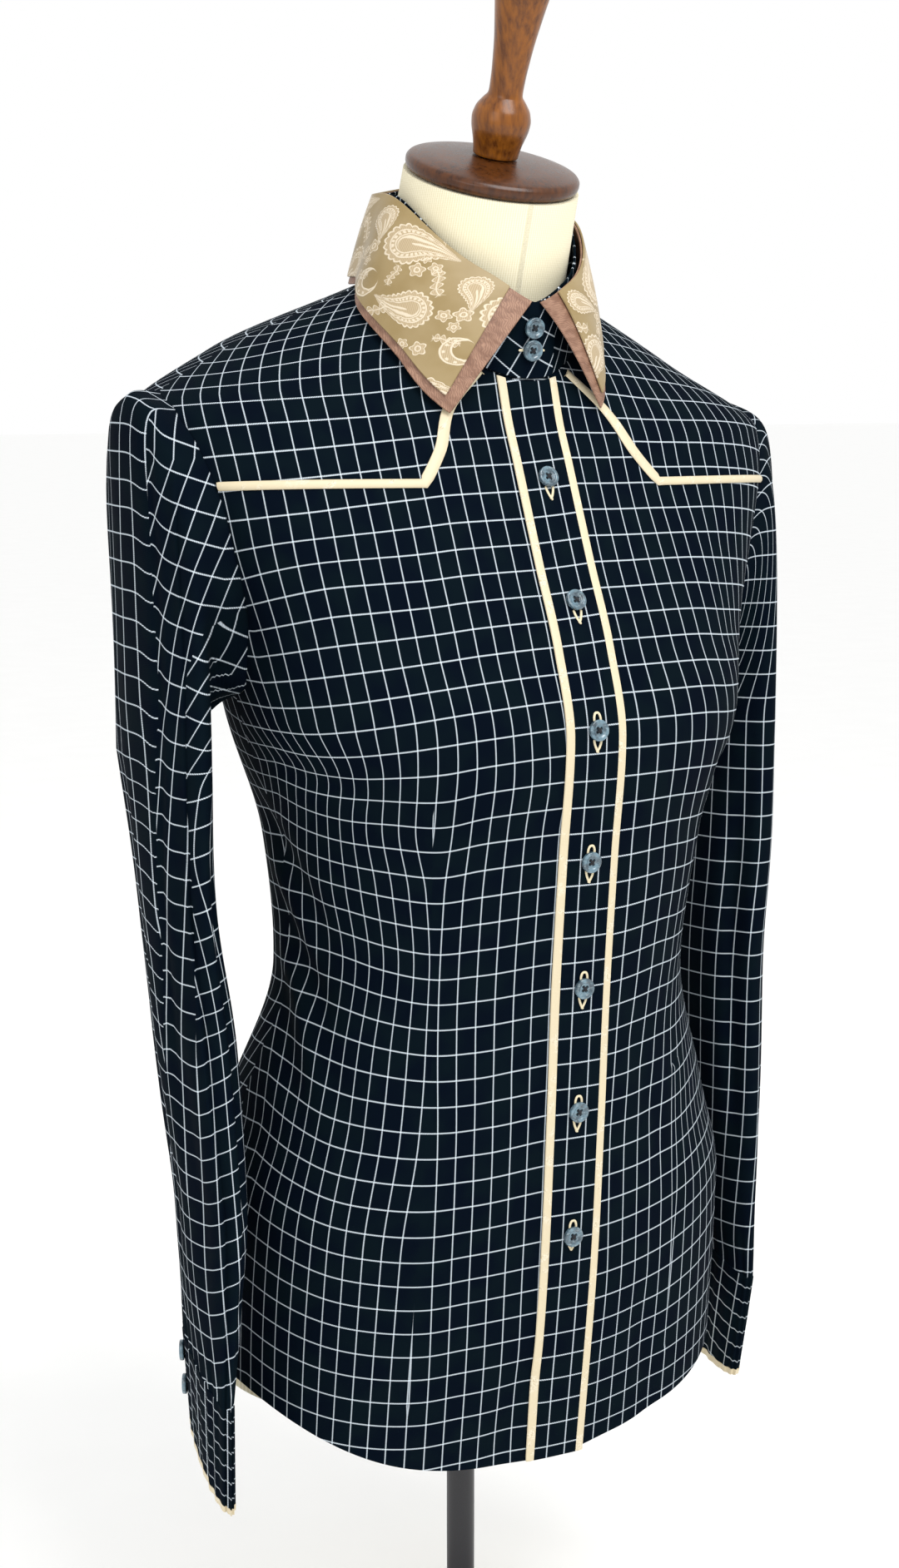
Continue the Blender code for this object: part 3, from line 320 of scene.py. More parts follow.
GATHER_REACH = 0.06      # share of the sleeve's length
GATHER_UNEVEN = (0.5, 5, 1)     # share, waves round the sleeve and start of their changing depth

# ---- dress form ----
FORM_SPAN = (228, 834)   # levels of the torso part
FORM_RADIUS = 54         # that the jersey's ribs are counted on
FORM_EASE = Table("level ease", (228, 9), (330, 7), (490, 8), (640, 5), (700, 4), (760, 6), (806, 8), (838, 8))
NECK_LEAN = 19           # degrees forward
NECK_ROUND = Table("up radius", (-80, 58), (-50, 54.5), (-20, 53.5), (0, 53))
CAP_CENTRE = (0, -36, 962)
CAP_PROFILE = ((0, 0), (49, 0), (51.5, 1.5), (52.5, 4), (52.5, 7), (50.5, 9.5), (40, 12), (18, 14),
               (0, 14))
FINIAL_PROFILE = (
    (0, 14.3), (13.5, 14.3), (13.8, 18), (14.8, 23), (17.2, 31), (17.8, 37), (16.2, 43),
    (12.6, 48), (10.0, 51), (10.4, 64), (12.0, 82), (15.0, 102), (17.5, 116), (18.5, 124),
    (17.0, 133), (11.5, 141), (0, 144),
)

# ---- stand ----
BASE_PROFILE = ((0, 0), (122, 0), (125, 3), (125, 9), (121, 13), (60, 16), (0, 16))
POLE_RADIUS = 9
POLE_FOOT = 16.3
ROUND_SIDES = 96

CELL_WIDE = 11.4         # the check: from one upright line to the next
CELL_TALL = 15.4
LINE_HALF = 0.36
TWILL = 1.25             # from one twill rib to the next
RIB = 1.5                # ribs of the jersey
STAND_BIAS = 28          # degrees that the collar stand's check is turned
PLACKET_CELL = 12.6

# ---- brocade: one repeat of the woven pattern, in mm ----
REPEAT = (74.0, 68.0)
MOTIFS = (               # name, across, along, turn, size
    ("paisley", 12, 16, 150, 12.5),
    ("paisley", 52, 44, -35, 10.5),
    ("paisley", 38, 12, 70, 7.5),
    ("crescent", 15, 50, 200, 9.0),
    ("flower", 29, 30, 10, 5.2),
    ("flower", 36, 36, 40, 4.4),
    ("flower", 27, 39, 40, 3.6),
    ("flower", 68, 24, 0, 5.0),
    ("flower", 62, 16, 25, 4.2),
    ("flower", 70, 15, 25, 3.2),
    ("flower", 32, 60, 15, 4.8),
    ("flower", 41, 63, 35, 3.6),
    ("sprig", 54, 22, 60, 8.5),
    ("sprig", 70, 60, -20, 8.5),
    ("sprig", 24, 48, -60, 6.5),
    ("sprig", 2, 36, 25, 6.5),
)

# ---- where the check's upright threads run on the fronts: arc from the centre front ----
THREADS = {-1: Table("v t0 t5 t7 t10 t13 t16 dart",
    (-450, 30, 86, 110, 144, 176, 206, 98),
    (-400, 30, 86.2, 109.5, 143, 175.5, 205, 98),
    (-320, 31.6, 87.5, 107, 140.7, 172, 201.7, 97),
    (-250, 31.6, 86.2, 97.5, 130.7, 161, 189, 93.2),
    (-200, 31.6, 86.6, 94, 126, 155, 188.5, 90.5),
    (-150, 31.8, 86.7, 92.8, 121, 149, 181, 91.2),
    (-100, 31.5, 86.5, 97.1, 127.8, 159, 190, 93.5),
    (-60, 31.2, 84.3, 105.7, 136, 163, 189, 95.5),
    (-30, 29.4, 84.5, 107, 137, 165, 192, 97),
    (0, 31.2, 86, 108.9, 144.5, 182.7, 215, 98),
    (50, 33.5, 90.9, 113.6, 148.6, 187, 229, 102),
    (100, 33.5, 93.1, 116.4, 151.9, 189.7, 228, 105),
    (140, 34, 94.3, 118.3, 153.4, 189.4, 225, 107),
    (200, 34, 96, 120.8, 158, 195, 232, 112),
), 1: Table("v t0 t4 t7 t10 t13 dart",
    (-450, 28.5, 74.5, 113, 152, 190, 87),
    (-400, 28.5, 74.5, 112.7, 152, 190, 87),
    (-350, 29.3, 74.2, 111.4, 148, 184, 86),
    (-300, 27.4, 72, 108.2, 138, 168, 83.3),
    (-250, 26, 71, 102, 124.7, 148, 82.5),
    (-200, 27.7, 76, 105, 126, 150, 87),
    (-150, 30.4, 90, 126, 158, 190, 98),
    (-100, 31.7, 94.5, 143, 186, 226, 105),
    (-50, 31.3, 89.4, 140, 185, 225, 112),
    (0, 30.4, 88, 133, 176, 215, 110),
    (50, 27.3, 77.1, 114, 139, 175, 95),
    (100, 26.2, 71.4, 104.6, 133.4, 165, 88),
    (140, 26.6, 68.6, 100.4, 136.8, 172, 84),
    (200, 27, 71, 105, 141, 177, 88),
)}
DART = {-1: (-415, -50), 1: (-405, -225)}     # lower and upper end
DART_BLEND = 6
# ---- how far the level threads hang below their height at the centre, by arc ----
DROOP_COLUMNS = "v a20 a65 a90 a120 a150 a180 a210"
DROOP_AT = (0, 20, 65, 90, 120, 150, 180, 210)
DROOP = {-1: Table(DROOP_COLUMNS,
    (-420, 0, -5, -10, -12, -10.5, -5, 4),
    (-320, 0, -6, -11, -12.7, -11.4, -5, 4),
    (-250, 0, -7.5, -11, -12.5, -11.5, -4.5, 5),
    (-150, 0, -8, -12.5, -11, -6, -3.5, -2),
    (-60, 0, -5.5, -12.5, -13.3, -13.8, -10, -2),
    (0, 0, -4.5, -8.3, -14, -19.5, -23.8, -26),
    (80, 0, -4.3, -9, -13.5, -17.6, -23.5, -30),
    (125, 0, -4.5, -10, -17, -23, -26, -27),
    (200, 0, -5, -11, -18, -23, -25, -25),
), 1: Table(DROOP_COLUMNS,
    (-420, 0, 2.7, 3.2, 3.5, 3, 3, 3),
    (-320, 0, 3, 5, 8, 12, 15, 18),
    (-250, 0, 2, 3, 8, 13, 17, 20),
    (-150, 0, 1, -2, -5, -8, -10, -12),
    (-60, 0, -1, -4, -8, -12, -15, -17),
    (0, 0, -1, -2.5, -6, -9, -12, -14),
    (80, 0, -1.9, -4.5, -9.5, -14, -18, -20),
    (125, 0, -3.5, -7, -11.5, -16, -19, -21),
    (200, 0, -4, -9, -15, -19, -22, -24),
)}
ROW_HEIGHTS = Table("row right left",
    (0, 196.4, 198.7), (4, 128.6, 133.4), (8, 65.2, 68), (12, 1.7, 4.2), (16, -60.7, -62),
    (20, -123.7, -125.5), (24, -185.2, -184.9), (28, -247.5, -244.2), (32, -311, -307.9),
    (36, -372, -370.7), (41, -447.7, -441),
)
BUST_LEVEL = 645         # arcs up the torso are counted from here
RING_ZERO = 140          # and those round a sleeve from this angle
PLACKET_RISE = 2.5       # the placket's rows rise this far across it, by and by between two arcs
PLACKET_RISE_FROM, PLACKET_RISE_TO = -40, 80
YOKE_SHIFT = {-1: 3.0, 0: 5.0, 1: -6.0}       # of the yokes' rows, the back's at 0

# the right sleeve's check: places in mm along ASLANT at each level of its front
ASLANT = np.array([0.8726, -0.4885, 0.0])
FACET_MIDDLE = -165.5
FACET_LIFT = 0.33        # rows climb by this share of a row towards the fold
FACET_LIFT_REACH = 6     # mm from the fold, on the front of the arm
OUTSIDE_LIFT_REACH = 13  # and on its outer face
FACET_FALL = (-20, 30)   # mm about FACET_MIDDLE over which the rows fall
BEHIND_FALL = (-5, 30)   # and behind the crease
FACET_EDGE = 168         # ring angle where it turns on to the outer face
OUTER_FACE = (120, 300)  # ring angles of the outer face
FAR_OFF = 20.0           # mm beside a fold, for points that it doesn't concern
FACET_ENDS = Table("along around", (-300, 8), (-60, 8), (0, 60), (60, 84), (400, 84))
FACETS = Table("level fold t0 t2 t4 crease i4 i5 i7 fall fall_in step_in",
    (262, -173.0, -166.6, -154.5, -142.4, -142.4, -142.4, -133.5, -115.4, 0.0, -0.5, 0.0),
    (340, -173.0, -188.6, -169.8, -151.0, -151.0, -151.0, -140.1, -118.8, 0.0, -0.5, 0.0),
    (400, -172.3, -194.0, -173.9, -152.1, -152.1, -152.1, -142.8, -125.5, 0.0, -0.5, 0.0),
    (460, -172.4, -191.6, -173.9, -154.0, -154.0, -154.4, -146.4, -131.7, 0.0, -0.55, 0.0),
    (500, -173.8, -191.1, -173.1, -151.7, -154.4, -161.8, -153.8, -136.7, 0.0, -0.5, 0.4),
    (540, -175.3, -190.4, -171.6, -148.6, -155.0, -172.7, -164.3, -145.9, 0.0, -0.4, 0.3),
    (575, -176.2, -187.2, -170.0, -146.1, -156.4, -184.9, -175.1, -153.9, 0.0, -0.37, 0.2),
    (610, -175.4, -183.6, -167.4, -146.6, -158.2, -182.6, -172.1, -150.3, 0.0, -0.3, 0.1),
    (640, -175.6, -181.7, -164.3, -146.9, -158.2, -167.4, -155.8, -133.5, 0.1, 0.3, 0.0),
    (670, -176.1, -176.1, -160.3, -141.2, -157.7, -149.5, -137.2, -113.8, 0.2, 0.4, 0.0),
    (700, -177.0, -172.9, -153.9, -133.4, -148.3, -132.3, -120.5, -97.9, 0.3, 0.4, 0.0),
    (730, -177.0, -164.7, -143.7, -120.8, -100.0, -126.2, -114.8, -92.6, 0.33, 0.4, 0.0),
    (760, -177.5, -154.3, -131.2, -108.6, -100.0, -126.2, -114.8, -92.6, 0.34, 0.4, 0.0),
    (800, -178.6, -140.8, -118.6, -96.4, -100.0, -126.2, -114.8, -92.6, 0.4, 0.4, 0.0),
)
FACET_LEVELS = Table("level row", (200, 40.7), (291, 34), (341, 30), (394, 26), (450, 22), (513, 18),
                     (575, 14), (638, 10), (707, 6), (777, 2), (812, 0), (882, -4))
OUTSIDE = Table("along fold t1 t2 t3 row",
    (-300, 14, 28, 42, 60, -6.2),
    (-195, 14, 30, 45, 66, 0),
    (-110, 13, 32, 53, 76, 5.3),
    (-40, 10, 29, 52, 74, 9.5),
    (5, 13, 22, 45, 64, 12.3),
    (45, 15, 21, 43, 62, 15.6),
    (85, 18, 21, 43, 62, 18.2),
    (123, 20, 15, 35, 52, 20.9),
    (162, 26, 13, 31, 46, 23.6),
    (193, 32, 12, 28, 43, 25.8),
    (222, 50, 12, 28, 43, 27.7),
    (360, 90, 12, 28, 43, 37.2),
)

# ---- camera, in m, for a picture 1080 wide and 1884 high ----
CAMERA_AT = (-0.8434, -1.4918, 0.8543)
CAMERA_AIM = (0.4829, 0.8626, -0.1509)
SENSOR = 36
FOCAL_SHARE = 3317.95 / 1884     # focal length, for 1 of the picture's height


# ------------------------------------------------------------------ surfaces

def unit(vectors):
    return vectors / np.linalg.norm(vectors, axis=-1, keepdims=True)


def stacked(*parts):
    """Points or vectors from their coordinates."""
    return np.stack(np.broadcast_arrays(*parts), axis=-1)


def smooth_step(x, low, high):
    share = np.clip((x - low) / (high - low), 0, 1)
    return share * share * (3 - 2 * share)


def wrapped(angle):
    """The same direction between -180 and 180 degrees."""
    return (np.asarray(angle, float) + 180) % 360 - 180


def arc_lengths(points, axis):
    """Arc lengths along one axis of a grid of points, from 0."""
    steps = np.linalg.norm(np.diff(points, axis=axis), axis=-1)
    return np.concatenate([np.zeros_like(np.take(steps, [0], axis)), np.cumsum(steps, axis=axis)], axis=axis)


def dimple(across, along):
    """How far a trough goes down, for places in its half breadths and half lengths."""
    return np.exp(-across ** 2 - along ** 4)


def torso_plain(angle, level):
    """The torso surface without creases, in mm."""
    level = np.clip(level, HEM, NECK)
    row = TORSO.every(level)
    turn = np.radians(angle)
    in_front = np.cos(turn) >= 0
    depth = np.where(in_front, row["side_y"] - row["front_y"], row["back_y"] - row["side_y"])
    square = np.where(in_front, row["front_square"], row["back_square"])
    reach = ((np.abs(np.cos(turn)) / depth) ** square
             + (np.abs(np.sin(turn)) / row["half_width"]) ** square) ** (-1 / square)
    end_z = np.where(in_front, level, row["back_z"])
    near_hem = np.clip((HEM_CURVE_TOP - level) / (HEM_CURVE_TOP - HEM), 0, 1)
    rise = SIDE_POWER + (SIDE_POWER_HEM - SIDE_POWER) * near_hem
    z = end_z + (row["side_z"] - end_z) * np.abs(np.sin(turn)) ** rise
    x = reach * np.sin(turn)
    sink = SHOULDER_SINK * np.clip((level - SINK_FROM) / (SHOULDER - SINK_FROM), 0, 1)
    return stacked(x, row["side_y"] - reach * np.cos(turn), z - sink * x)


def torso_creases(angle, level):
    """How far the creases press the torso surface in, in mm."""
    pressed = 0.0
    for crease in CREASES.each():
        turn = math.radians(crease["lean"])
        aside = (wrapped(angle) - crease["angle"]) * CREASE_ARC
        above = level - crease["level"]
        along = above * math.cos(turn) + aside * math.sin(turn)
        across = aside * math.cos(turn) - above * math.sin(turn)
        shape = dimple(across / crease["half_breadth"], along / crease["half_length"])
        pressed = pressed + crease["depth"] * shape
    return pressed


def torso(angle, level, out=0.0):
    """Points of the torso surface moved out by some mm, creases included, in mm."""
    angle, level, out = np.broadcast_arrays(np.asarray(angle, float), level, out)
    level = np.clip(level, HEM + 0.01, NECK - 0.01)
    across = torso_plain(angle + 0.5, level) - torso_plain(angle - 0.5, level)
    along = torso_plain(angle, np.minimum(level + 1, NECK)) - torso_plain(angle, np.maximum(level - 1, HEM))
    pressed = torso_creases(angle, level)
    return torso_plain(angle, level) + (out - pressed)[..., None] * unit(np.cross(across, along))


def angle_at(x, level):
    """The angle at which a girth line passes a distance x beside the centre front."""
    angles = np.linspace(0, 90, 361)
    found = np.interp(abs(x), torso_plain(angles, np.full(angles.shape, float(level)))[:, 0], angles)
    return math.copysign(found, x)


def seam_angle(level):
    """Half of a seam's gap, as an angle."""
    return math.degrees(SEAM / 2 / TORSO.read("half_width", level))


def patch(bottom, top, left, right):
    """Blend four boundary rows of (angle, level) into a grid of them."""
    bottom, top, left, right = (np.array(side, float) for side in (bottom, top, left, right))
    u = np.linspace(0, 1, len(bottom))[None, :, None]
    v = np.linspace(0, 1, len(left))[:, None, None]
    ruled = (1 - v) * bottom[None] + v * top[None] + (1 - u) * left[:, None] + u * right[:, None]
    corners = ((1 - v) * ((1 - u) * bottom[0] + u * bottom[-1])
               + v * ((1 - u) * top[0] + u * top[-1]))
    return ruled - corners


def line(start, end, steps):
    """Evenly spaced (angle, level) points from start to end."""
    start, end = np.array(start), np.array(end)
    return [tuple(start + (end - start) * k / steps) for k in range(steps)] + [tuple(end)]


def armhole(start, end, steps, face):
    """Armhole points on the front or back, from one place along it to another."""
    points = []
    for along in np.linspace(start, end, steps + 1):
        level = float(ARMHOLE.read("level", along))
        aside = seam_angle(level) * (-1 if face == "front" else 1)
        points.append((float(ARMHOLE.read(face + "_angle", along)) + aside, level))
    return points


def hem_lift(angle):
    return float(HEM_LIFT.read("lift", angle))


def side_seam(face, lift=0.0):
    shift = -1 if face == "front" else 1
    return [(90 + shift * seam_angle(level), level)
            for level in np.linspace(HEM + lift, UNDERARM, ROWS_BELOW_ARM + 1)[:-1]]


def yoke_line(shift):
    """The front yoke seam from the neck to the armhole, moved up or down a little."""
    neck = angle_at(YOKE_NECK_X, NECK) + (math.copysign(YOKE_NECK_GAP, shift) if shift else 0)
    corner = (angle_at(YOKE_CORNER_X, YOKE_CORNER_LEVEL), YOKE_CORNER_LEVEL + shift)
    angle, level = armhole(YOKE_AT, 1, 1, "front")[0]
    return (line((neck, NECK), corner, COLUMNS_ON_SLANT)[:-1]
            + line(corner, (angle, level + shift), COLUMNS_ON_YOKE))


def back_yoke_line(shift):
    angle, level = armhole(0, BACK_YOKE_AT, 1, "back")[-1]
    return line((angle, level + shift), (360 - angle, level + shift), COLUMNS_BACK)


def mirror_back(points):
    return [(360 - angle, level) for angle, level in points]


def back_neck_points():
    start, end = 90 + seam_angle(NECK), 270 - seam_angle(NECK)
    return [(angle, NECK - SEAM) for angle in np.linspace(start, end, COLUMNS_BACK_NECK + 1)]


def upright(x, levels):
    return [(angle_at(x, level), level) for level in levels]


def strip_grid(left_x, right_x, columns):
    """(angle, level) points of an upright strip down the front."""
    levels = np.append(FRONT_LEVELS[:-1], NECK - STRIP_DROP)
    return np.array([upright(x, levels) for x in np.linspace(left_x, right_x, columns)]).transpose(1, 0, 2)


def stand_angles():
    """Angles round the neck, at the same places as the panels' neck points."""
    places = (PLACKET_EDGE / 3, PLACKET_EDGE * 2 / 3, PLACKET_EDGE, YOKE_NECK_X)
    front = [angle_at(x, NECK) for x in places]
    side = [angle for angle, _ in line((front[-1], 0), (90, 0), ROWS_ABOVE_YOKE)[:-1]]
    back = [angle for angle, _ in back_neck_points()]
    mirrored = [360 - angle for angle in reversed(front[:-1] + side)]
    end = 360 + angle_at(STAND_OVERLAP_X, NECK)
    return [angle_at(STAND_START_X, NECK), *front[:-1], *side, *back, *mirrored,
            360, 360 + front[0], end - STAND_END_COLUMN, end]


def stand_point(angle, height_share, out=0.0):
    """Points of the collar stand's outer face; out moves them away from the neck, in mm."""
    angle, height_share, out = np.broadcast_arrays(np.asarray(angle, float), height_share, out)
    row = STAND.every(np.abs(wrapped(angle)))
    turn = np.radians(angle)
    height = np.where(np.sin(turn) > 0, row["left_height"], row["height"])
    away = row["spread"] * height_share + out
    return torso_plain(angle, np.full(angle.shape, float(NECK))) + stacked(
        away * np.sin(turn), -away * np.cos(turn) - row["forward"] * height_share,
        SEAM + height * height_share)


def collar_point(neck_angle, share, side):
    """Points of the collar fall from its fold (share 0) to its outer edge (share 1)."""
    neck_angle, share = np.broadcast_arrays(np.asarray(neck_angle, float), share)
    fold = stand_point(side * neck_angle, 1.0, STAND_STEP + COLLAR_STANDS_OFF + COLLAR_WALL)
    row = COLLAR[side].every(neck_angle)
    edge = torso(side * row["edge_angle"], row["edge_level"], row["lift"])
    turn = np.radians(side * neck_angle)
    bulge = row["roll"] * 4 * share * (1 - share) * (1 - ROLL_TO_FOLD * share)
    return (fold + (edge - fold) * share[..., None]
            + bulge[..., None] * stacked(np.sin(turn), -np.cos(turn), ROLL_UP))


def offset_grid(points, out):
    """A grid of points moved along its own normals, in mm."""
    return points + out * unit(np.cross(np.gradient(points, axis=1), np.gradient(points, axis=0)))


def sleeve_ring(side, drop, out):
    """Points of a sleeve ring; round 0 is next to the body, 90 the front edge, 180 outside."""
    row = SLEEVE[side].every(np.full(ARM_ROUND.shape, float(drop)))
    turn = np.radians(ARM_ROUND)
    pressed = 0.0
    for fold in SLEEVE_FOLDS[0].each() + SLEEVE_FOLDS[side].each():
        below = drop - fold["drop"]
        away = wrapped(ARM_ROUND - fold["round"] - fold["turn"] * below)
        half = np.where(away < 0, fold["inner"], fold["outer"])
        pressed = pressed + fold["depth"] * dimple(away / half, below / fold["half_drop"])
    gathered = np.exp(-((1 - drop) / GATHER_REACH) ** 2) * np.sin(turn * GATHERS)
    share, waves, start = GATHER_UNEVEN
    pressed = pressed + GATHER_DEPTH * gathered * (1 + share * np.sin(turn * waves + start))
    grow = out - pressed
    aside, forward = -(row["half_thick"] + grow) * np.cos(turn), (row["half_depth"] + grow) * np.sin(turn)
    tilt, turned_by = np.radians(row["tilt"]), np.radians(row["turn"])
    x = row["x"] + aside * np.cos(turned_by) + forward * np.sin(turned_by)
    y = row["y"] - (forward * np.cos(turned_by) - aside * np.sin(turned_by)) * np.cos(tilt)
    return stacked(x, y, row["z"] - forward * np.sin(tilt))


def armhole_ring():
    """The armhole points all round, up the front and down the back, with ring angles."""
    front, back = (armhole(0, at, ROWS_BESIDE_ARM, face)[:-1] + armhole(at, 1, ROWS_ABOVE_YOKE, face)
                   for face, at in (("front", YOKE_AT), ("back", BACK_YOKE_AT)))
    front[0], front[-1] = (90, UNDERARM), (90, SHOULDER)
    rising, falling = (arc_lengths(torso(*np.array(half).T), 0) for half in (front, back))
    rising, falling = rising / rising[-1] * 180, 360 - falling / falling[-1] * 180
    return np.array(front + back[-2:0:-1]), np.concatenate([rising, falling[-2:0:-1]])


def cap_shares(square, steps):
    """Outward and downward shares down a rounded corner, evenly spaced on both its sides."""
    corner = 2.0 ** (-square / 2)
    shares = []
    for t in np.linspace(0, 1, steps + 1)[:-1]:
        if t < 0.5:
            outward = 2 * t * corner
            left_over = (1 - outward ** (2 / square)) ** (square / 2)
            turn = np.arcsin(outward ** (1 / square))
        else:
            left_over = 2 * (1 - t) * corner
            outward = (1 - left_over ** (2 / square)) ** (square / 2)
            turn = np.arccos(left_over ** (1 / square))
        shares.append((outward, 1 - left_over, turn))
    return shares


def sleeve_grid(side):
    """Outer and inner points of a sleeve, mirrored later for the right arm."""
    cap, grids = CAP[side], []
    for out in (0.0, -WALL):
        start = torso(side * ARM_LOOP[:, 0], ARM_LOOP[:, 1], out * CAP_INNER) * (side, 1, 1)
        start = start + (CAP_CLEAR, 0, 0)
        if out:
            inward = start.mean(axis=0) - start
            inward[:, 0] = 0
            start = start + unit(inward) * WALL
        end = sleeve_ring(side, 0.0, out)
        rise = np.clip((start[:, 2] - start[:, 2].min()) / np.ptp(start[:, 2]), 0, 1)[:, None]
        square = 2 / (cap["square_low"] + (cap["square_top"] - cap["square_low"]) * np.sqrt(rise))
        rings = []
        for outward, downward, turn in cap_shares(square, CAP_RINGS):
            ring = start + (end - start) * outward
            ring[:, 2:] = start[:, 2:] + (end - start)[:, 2:] * downward
            swell = cap["puff"] * np.sin(2 * turn) ** PUFF_POWER
            rings.append(ring + swell * rise * (1.0, 0, cap["puff_up"]))
        rings += [sleeve_ring(side, drop, out) for drop in np.linspace(0, 1, SLEEVE_RINGS + 1)]
        grids.append(np.stack(rings))
    return grids


def cuff_rings(side, drops, out):
    """Rings that carry the sleeve's end on down, drops in mm below its seam."""
    cuff, end = CUFF[side], sleeve_ring(side, 1.0, out)
    centre = end.mean(axis=0)
    x, y, z = (end - centre).T
    rings = []
    for share in np.array(drops) / CUFF_HEIGHT:
        turn, tilt = math.radians(share * cuff["turn"]), math.radians(share * cuff["tilt"])
        ring = stacked(x * math.cos(turn) - y * math.sin(turn), x * math.sin(turn) + y * math.cos(turn),
                       z + y * math.sin(tilt))
        rings.append(centre + ring + np.array(cuff["move"]) * share)
    return np.stack(rings)


def lean(points):
    """Tip points forward round the cap's centre, the way the neck leans."""
    cos, sin = math.cos(math.radians(NECK_LEAN)), math.sin(math.radians(NECK_LEAN))
    x, y, z = np.moveaxis(points, -1, 0)
    return stacked(x, y * cos - z * sin, y * sin + z * cos) + CAP_CENTRE


FRONT_LEVELS = np.linspace(HEM, NECK - SEAM, ROWS_BELOW_ARM + ROWS_BESIDE_ARM + 1)
ARM_LOOP, ARM_ROUND = armhole_ring()


# ------------------------------------------------------------------ the lie of the check

ARC_ANGLES = np.linspace(-180, 180, 361)
ARC_LEVELS = np.linspace(HEM, NECK, 328)
ARC_POINTS = torso_plain(ARC_ANGLES[None], ARC_LEVELS[:, None])
AROUND, UP = arc_lengths(ARC_POINTS, 1), arc_lengths(ARC_POINTS, 0)
AROUND = AROUND - AROUND[:, [int(np.argmin(np.abs(ARC_ANGLES)))]]
UP = UP - UP[int(np.argmin(np.abs(ARC_LEVELS - BUST_LEVEL)))]


def read_grid(values, angle, level):
    """A table over the torso's angles and levels, read between its points."""
    angle, level = np.broadcast_arrays(np.asarray(angle, float), level)
    x = np.clip((angle - ARC_ANGLES[0]) / (ARC_ANGLES[1] - ARC_ANGLES[0]), 0, len(ARC_ANGLES) - 1.001)
    y = np.clip((level - HEM) / (ARC_LEVELS[1] - ARC_LEVELS[0]), 0, len(ARC_LEVELS) - 1.001)
    i, j = y.astype(int), x.astype(int)
    p, q = y - i, x - j
    low = values[i, j] * (1 - q) + values[i, j + 1] * q
    high = values[i + 1, j] * (1 - q) + values[i + 1, j + 1] * q
    return low * (1 - p) + high * p


def arcs(grid, side=1):
    """Arcs round from the centre front and up from the bust line, in mm."""
    angle = wrapped(side * grid[..., 0])
    return read_grid(AROUND, angle, grid[..., 1]), read_grid(UP, angle, grid[..., 1])


def numbered(u, at, names):
    """Thread number at arc u; at holds the threads' arcs by names that end in their numbers."""
    return thread_number(u, [at[name] for name in names], [float(name[1:]) for name in names])


def thread_number(u, knots, numbers):
    """The number at arc u, straight between the known arcs and on past them."""
    result = numbers[0] + (u - knots[0]) * (numbers[1] - numbers[0]) / (knots[1] - knots[0])
    for k in range(1, len(knots) - 1):
        slope = (numbers[k + 1] - numbers[k]) / (knots[k + 1] - knots[k])
        result = np.where(u > knots[k], numbers[k] + (u - knots[k]) * slope, result)
    return result


def row_number(v, side):
    """Row number at arc v up the centre front, straight on past the table's ends."""
    numbers, heights = np.array([(row[0], row[-side]) for row in ROW_HEIGHTS.rows[::-1]], float).T
    return thread_number(v, heights, numbers)


def droop(u, v, side):
    """How far a level thread hangs at arc u from the centre front."""
    values = np.stack([np.zeros(np.shape(v)), *DROOP[side].every(v).values()])
    at = np.clip(u, 0, DROOP_AT[-1])
    step = np.diff(DROOP_AT)
    slope = np.diff(values, axis=0) / step.reshape(-1, *[1] * np.ndim(v))
    tangent = np.concatenate([slope[:1], (slope[1:] + slope[:-1]) / 2, slope[-1:]])
    k = np.clip(np.searchsorted(DROOP_AT, at, side="right") - 1, 0, len(step) - 1)
    low, high, rise_low, rise_high = (
        np.take_along_axis(array, which[None], axis=0)[0]
        for array, which in ((values, k), (values, k + 1), (tangent, k), (tangent, k + 1)))
    return curve(low, high, rise_low * step[k], rise_high * step[k], (at - np.array(DROOP_AT)[k]) / step[k])


def check_fields(threads, rows, fold_one, fold_two):
    return {"weave": stacked(*threads), "rows": stacked(*rows),
            "place": stacked(fold_one, fold_two, 0 * fold_one)}


def plain_weave(thread, row):
    beside = np.full(np.shape(thread), -1.0)
    return check_fields([thread] * 3, [row] * 3, beside, beside)


def front_weave(grid, side, shift=0.0):
    """Thread and row numbers on a front, with both sides of its dart."""
    u, v = arcs(grid, side)
    u = u * side
    at = THREADS[side].every(v)
    dart = at.pop("dart")
    names = list(at)
    whole = numbered(u, at, names)
    low, high = DART[side]
    open_share = smooth_step(v, low - DART_BLEND, low) * (1 - smooth_step(v, high, high + DART_BLEND))
    inner, outer = (whole + (numbered(u, at, part) - whole) * open_share for part in (names[:2], names[2:]))
    row = row_number(v - droop(u, v, side) - shift, side)
    return check_fields((inner, outer, outer), [row] * 3, u - dart, np.full(u.shape, -1.0))


def back_weave(grid, shift=0.0):
    u, v = arcs(grid)
    level = grid[..., 1]
    centre, seam = (np.where(u > 0, read_grid(AROUND, left, level), read_grid(AROUND, right, level))
                    for left, right in ((179.99, -180.0), (90.0, -90.0)))
    half = np.where(u > 0, 1, -1) * (centre - seam)
    from_centre = centre - u
    toward_side = np.clip(np.abs(from_centre) / half, 0, 1) ** 2
    left_share = 0.5 - 0.5 * np.clip(from_centre / half, -1, 1)
    side_arc = np.full(u.shape, float(DROOP_AT[-1]))
    fall = (droop(side_arc, v, 1) * (1 - left_share) + droop(side_arc, v, -1) * left_share) * toward_side
    row = (row_number(v - fall - shift, 1) + row_number(v - fall - shift, -1)) / 2
    return plain_weave(from_centre / CELL_WIDE + 0.5, row)


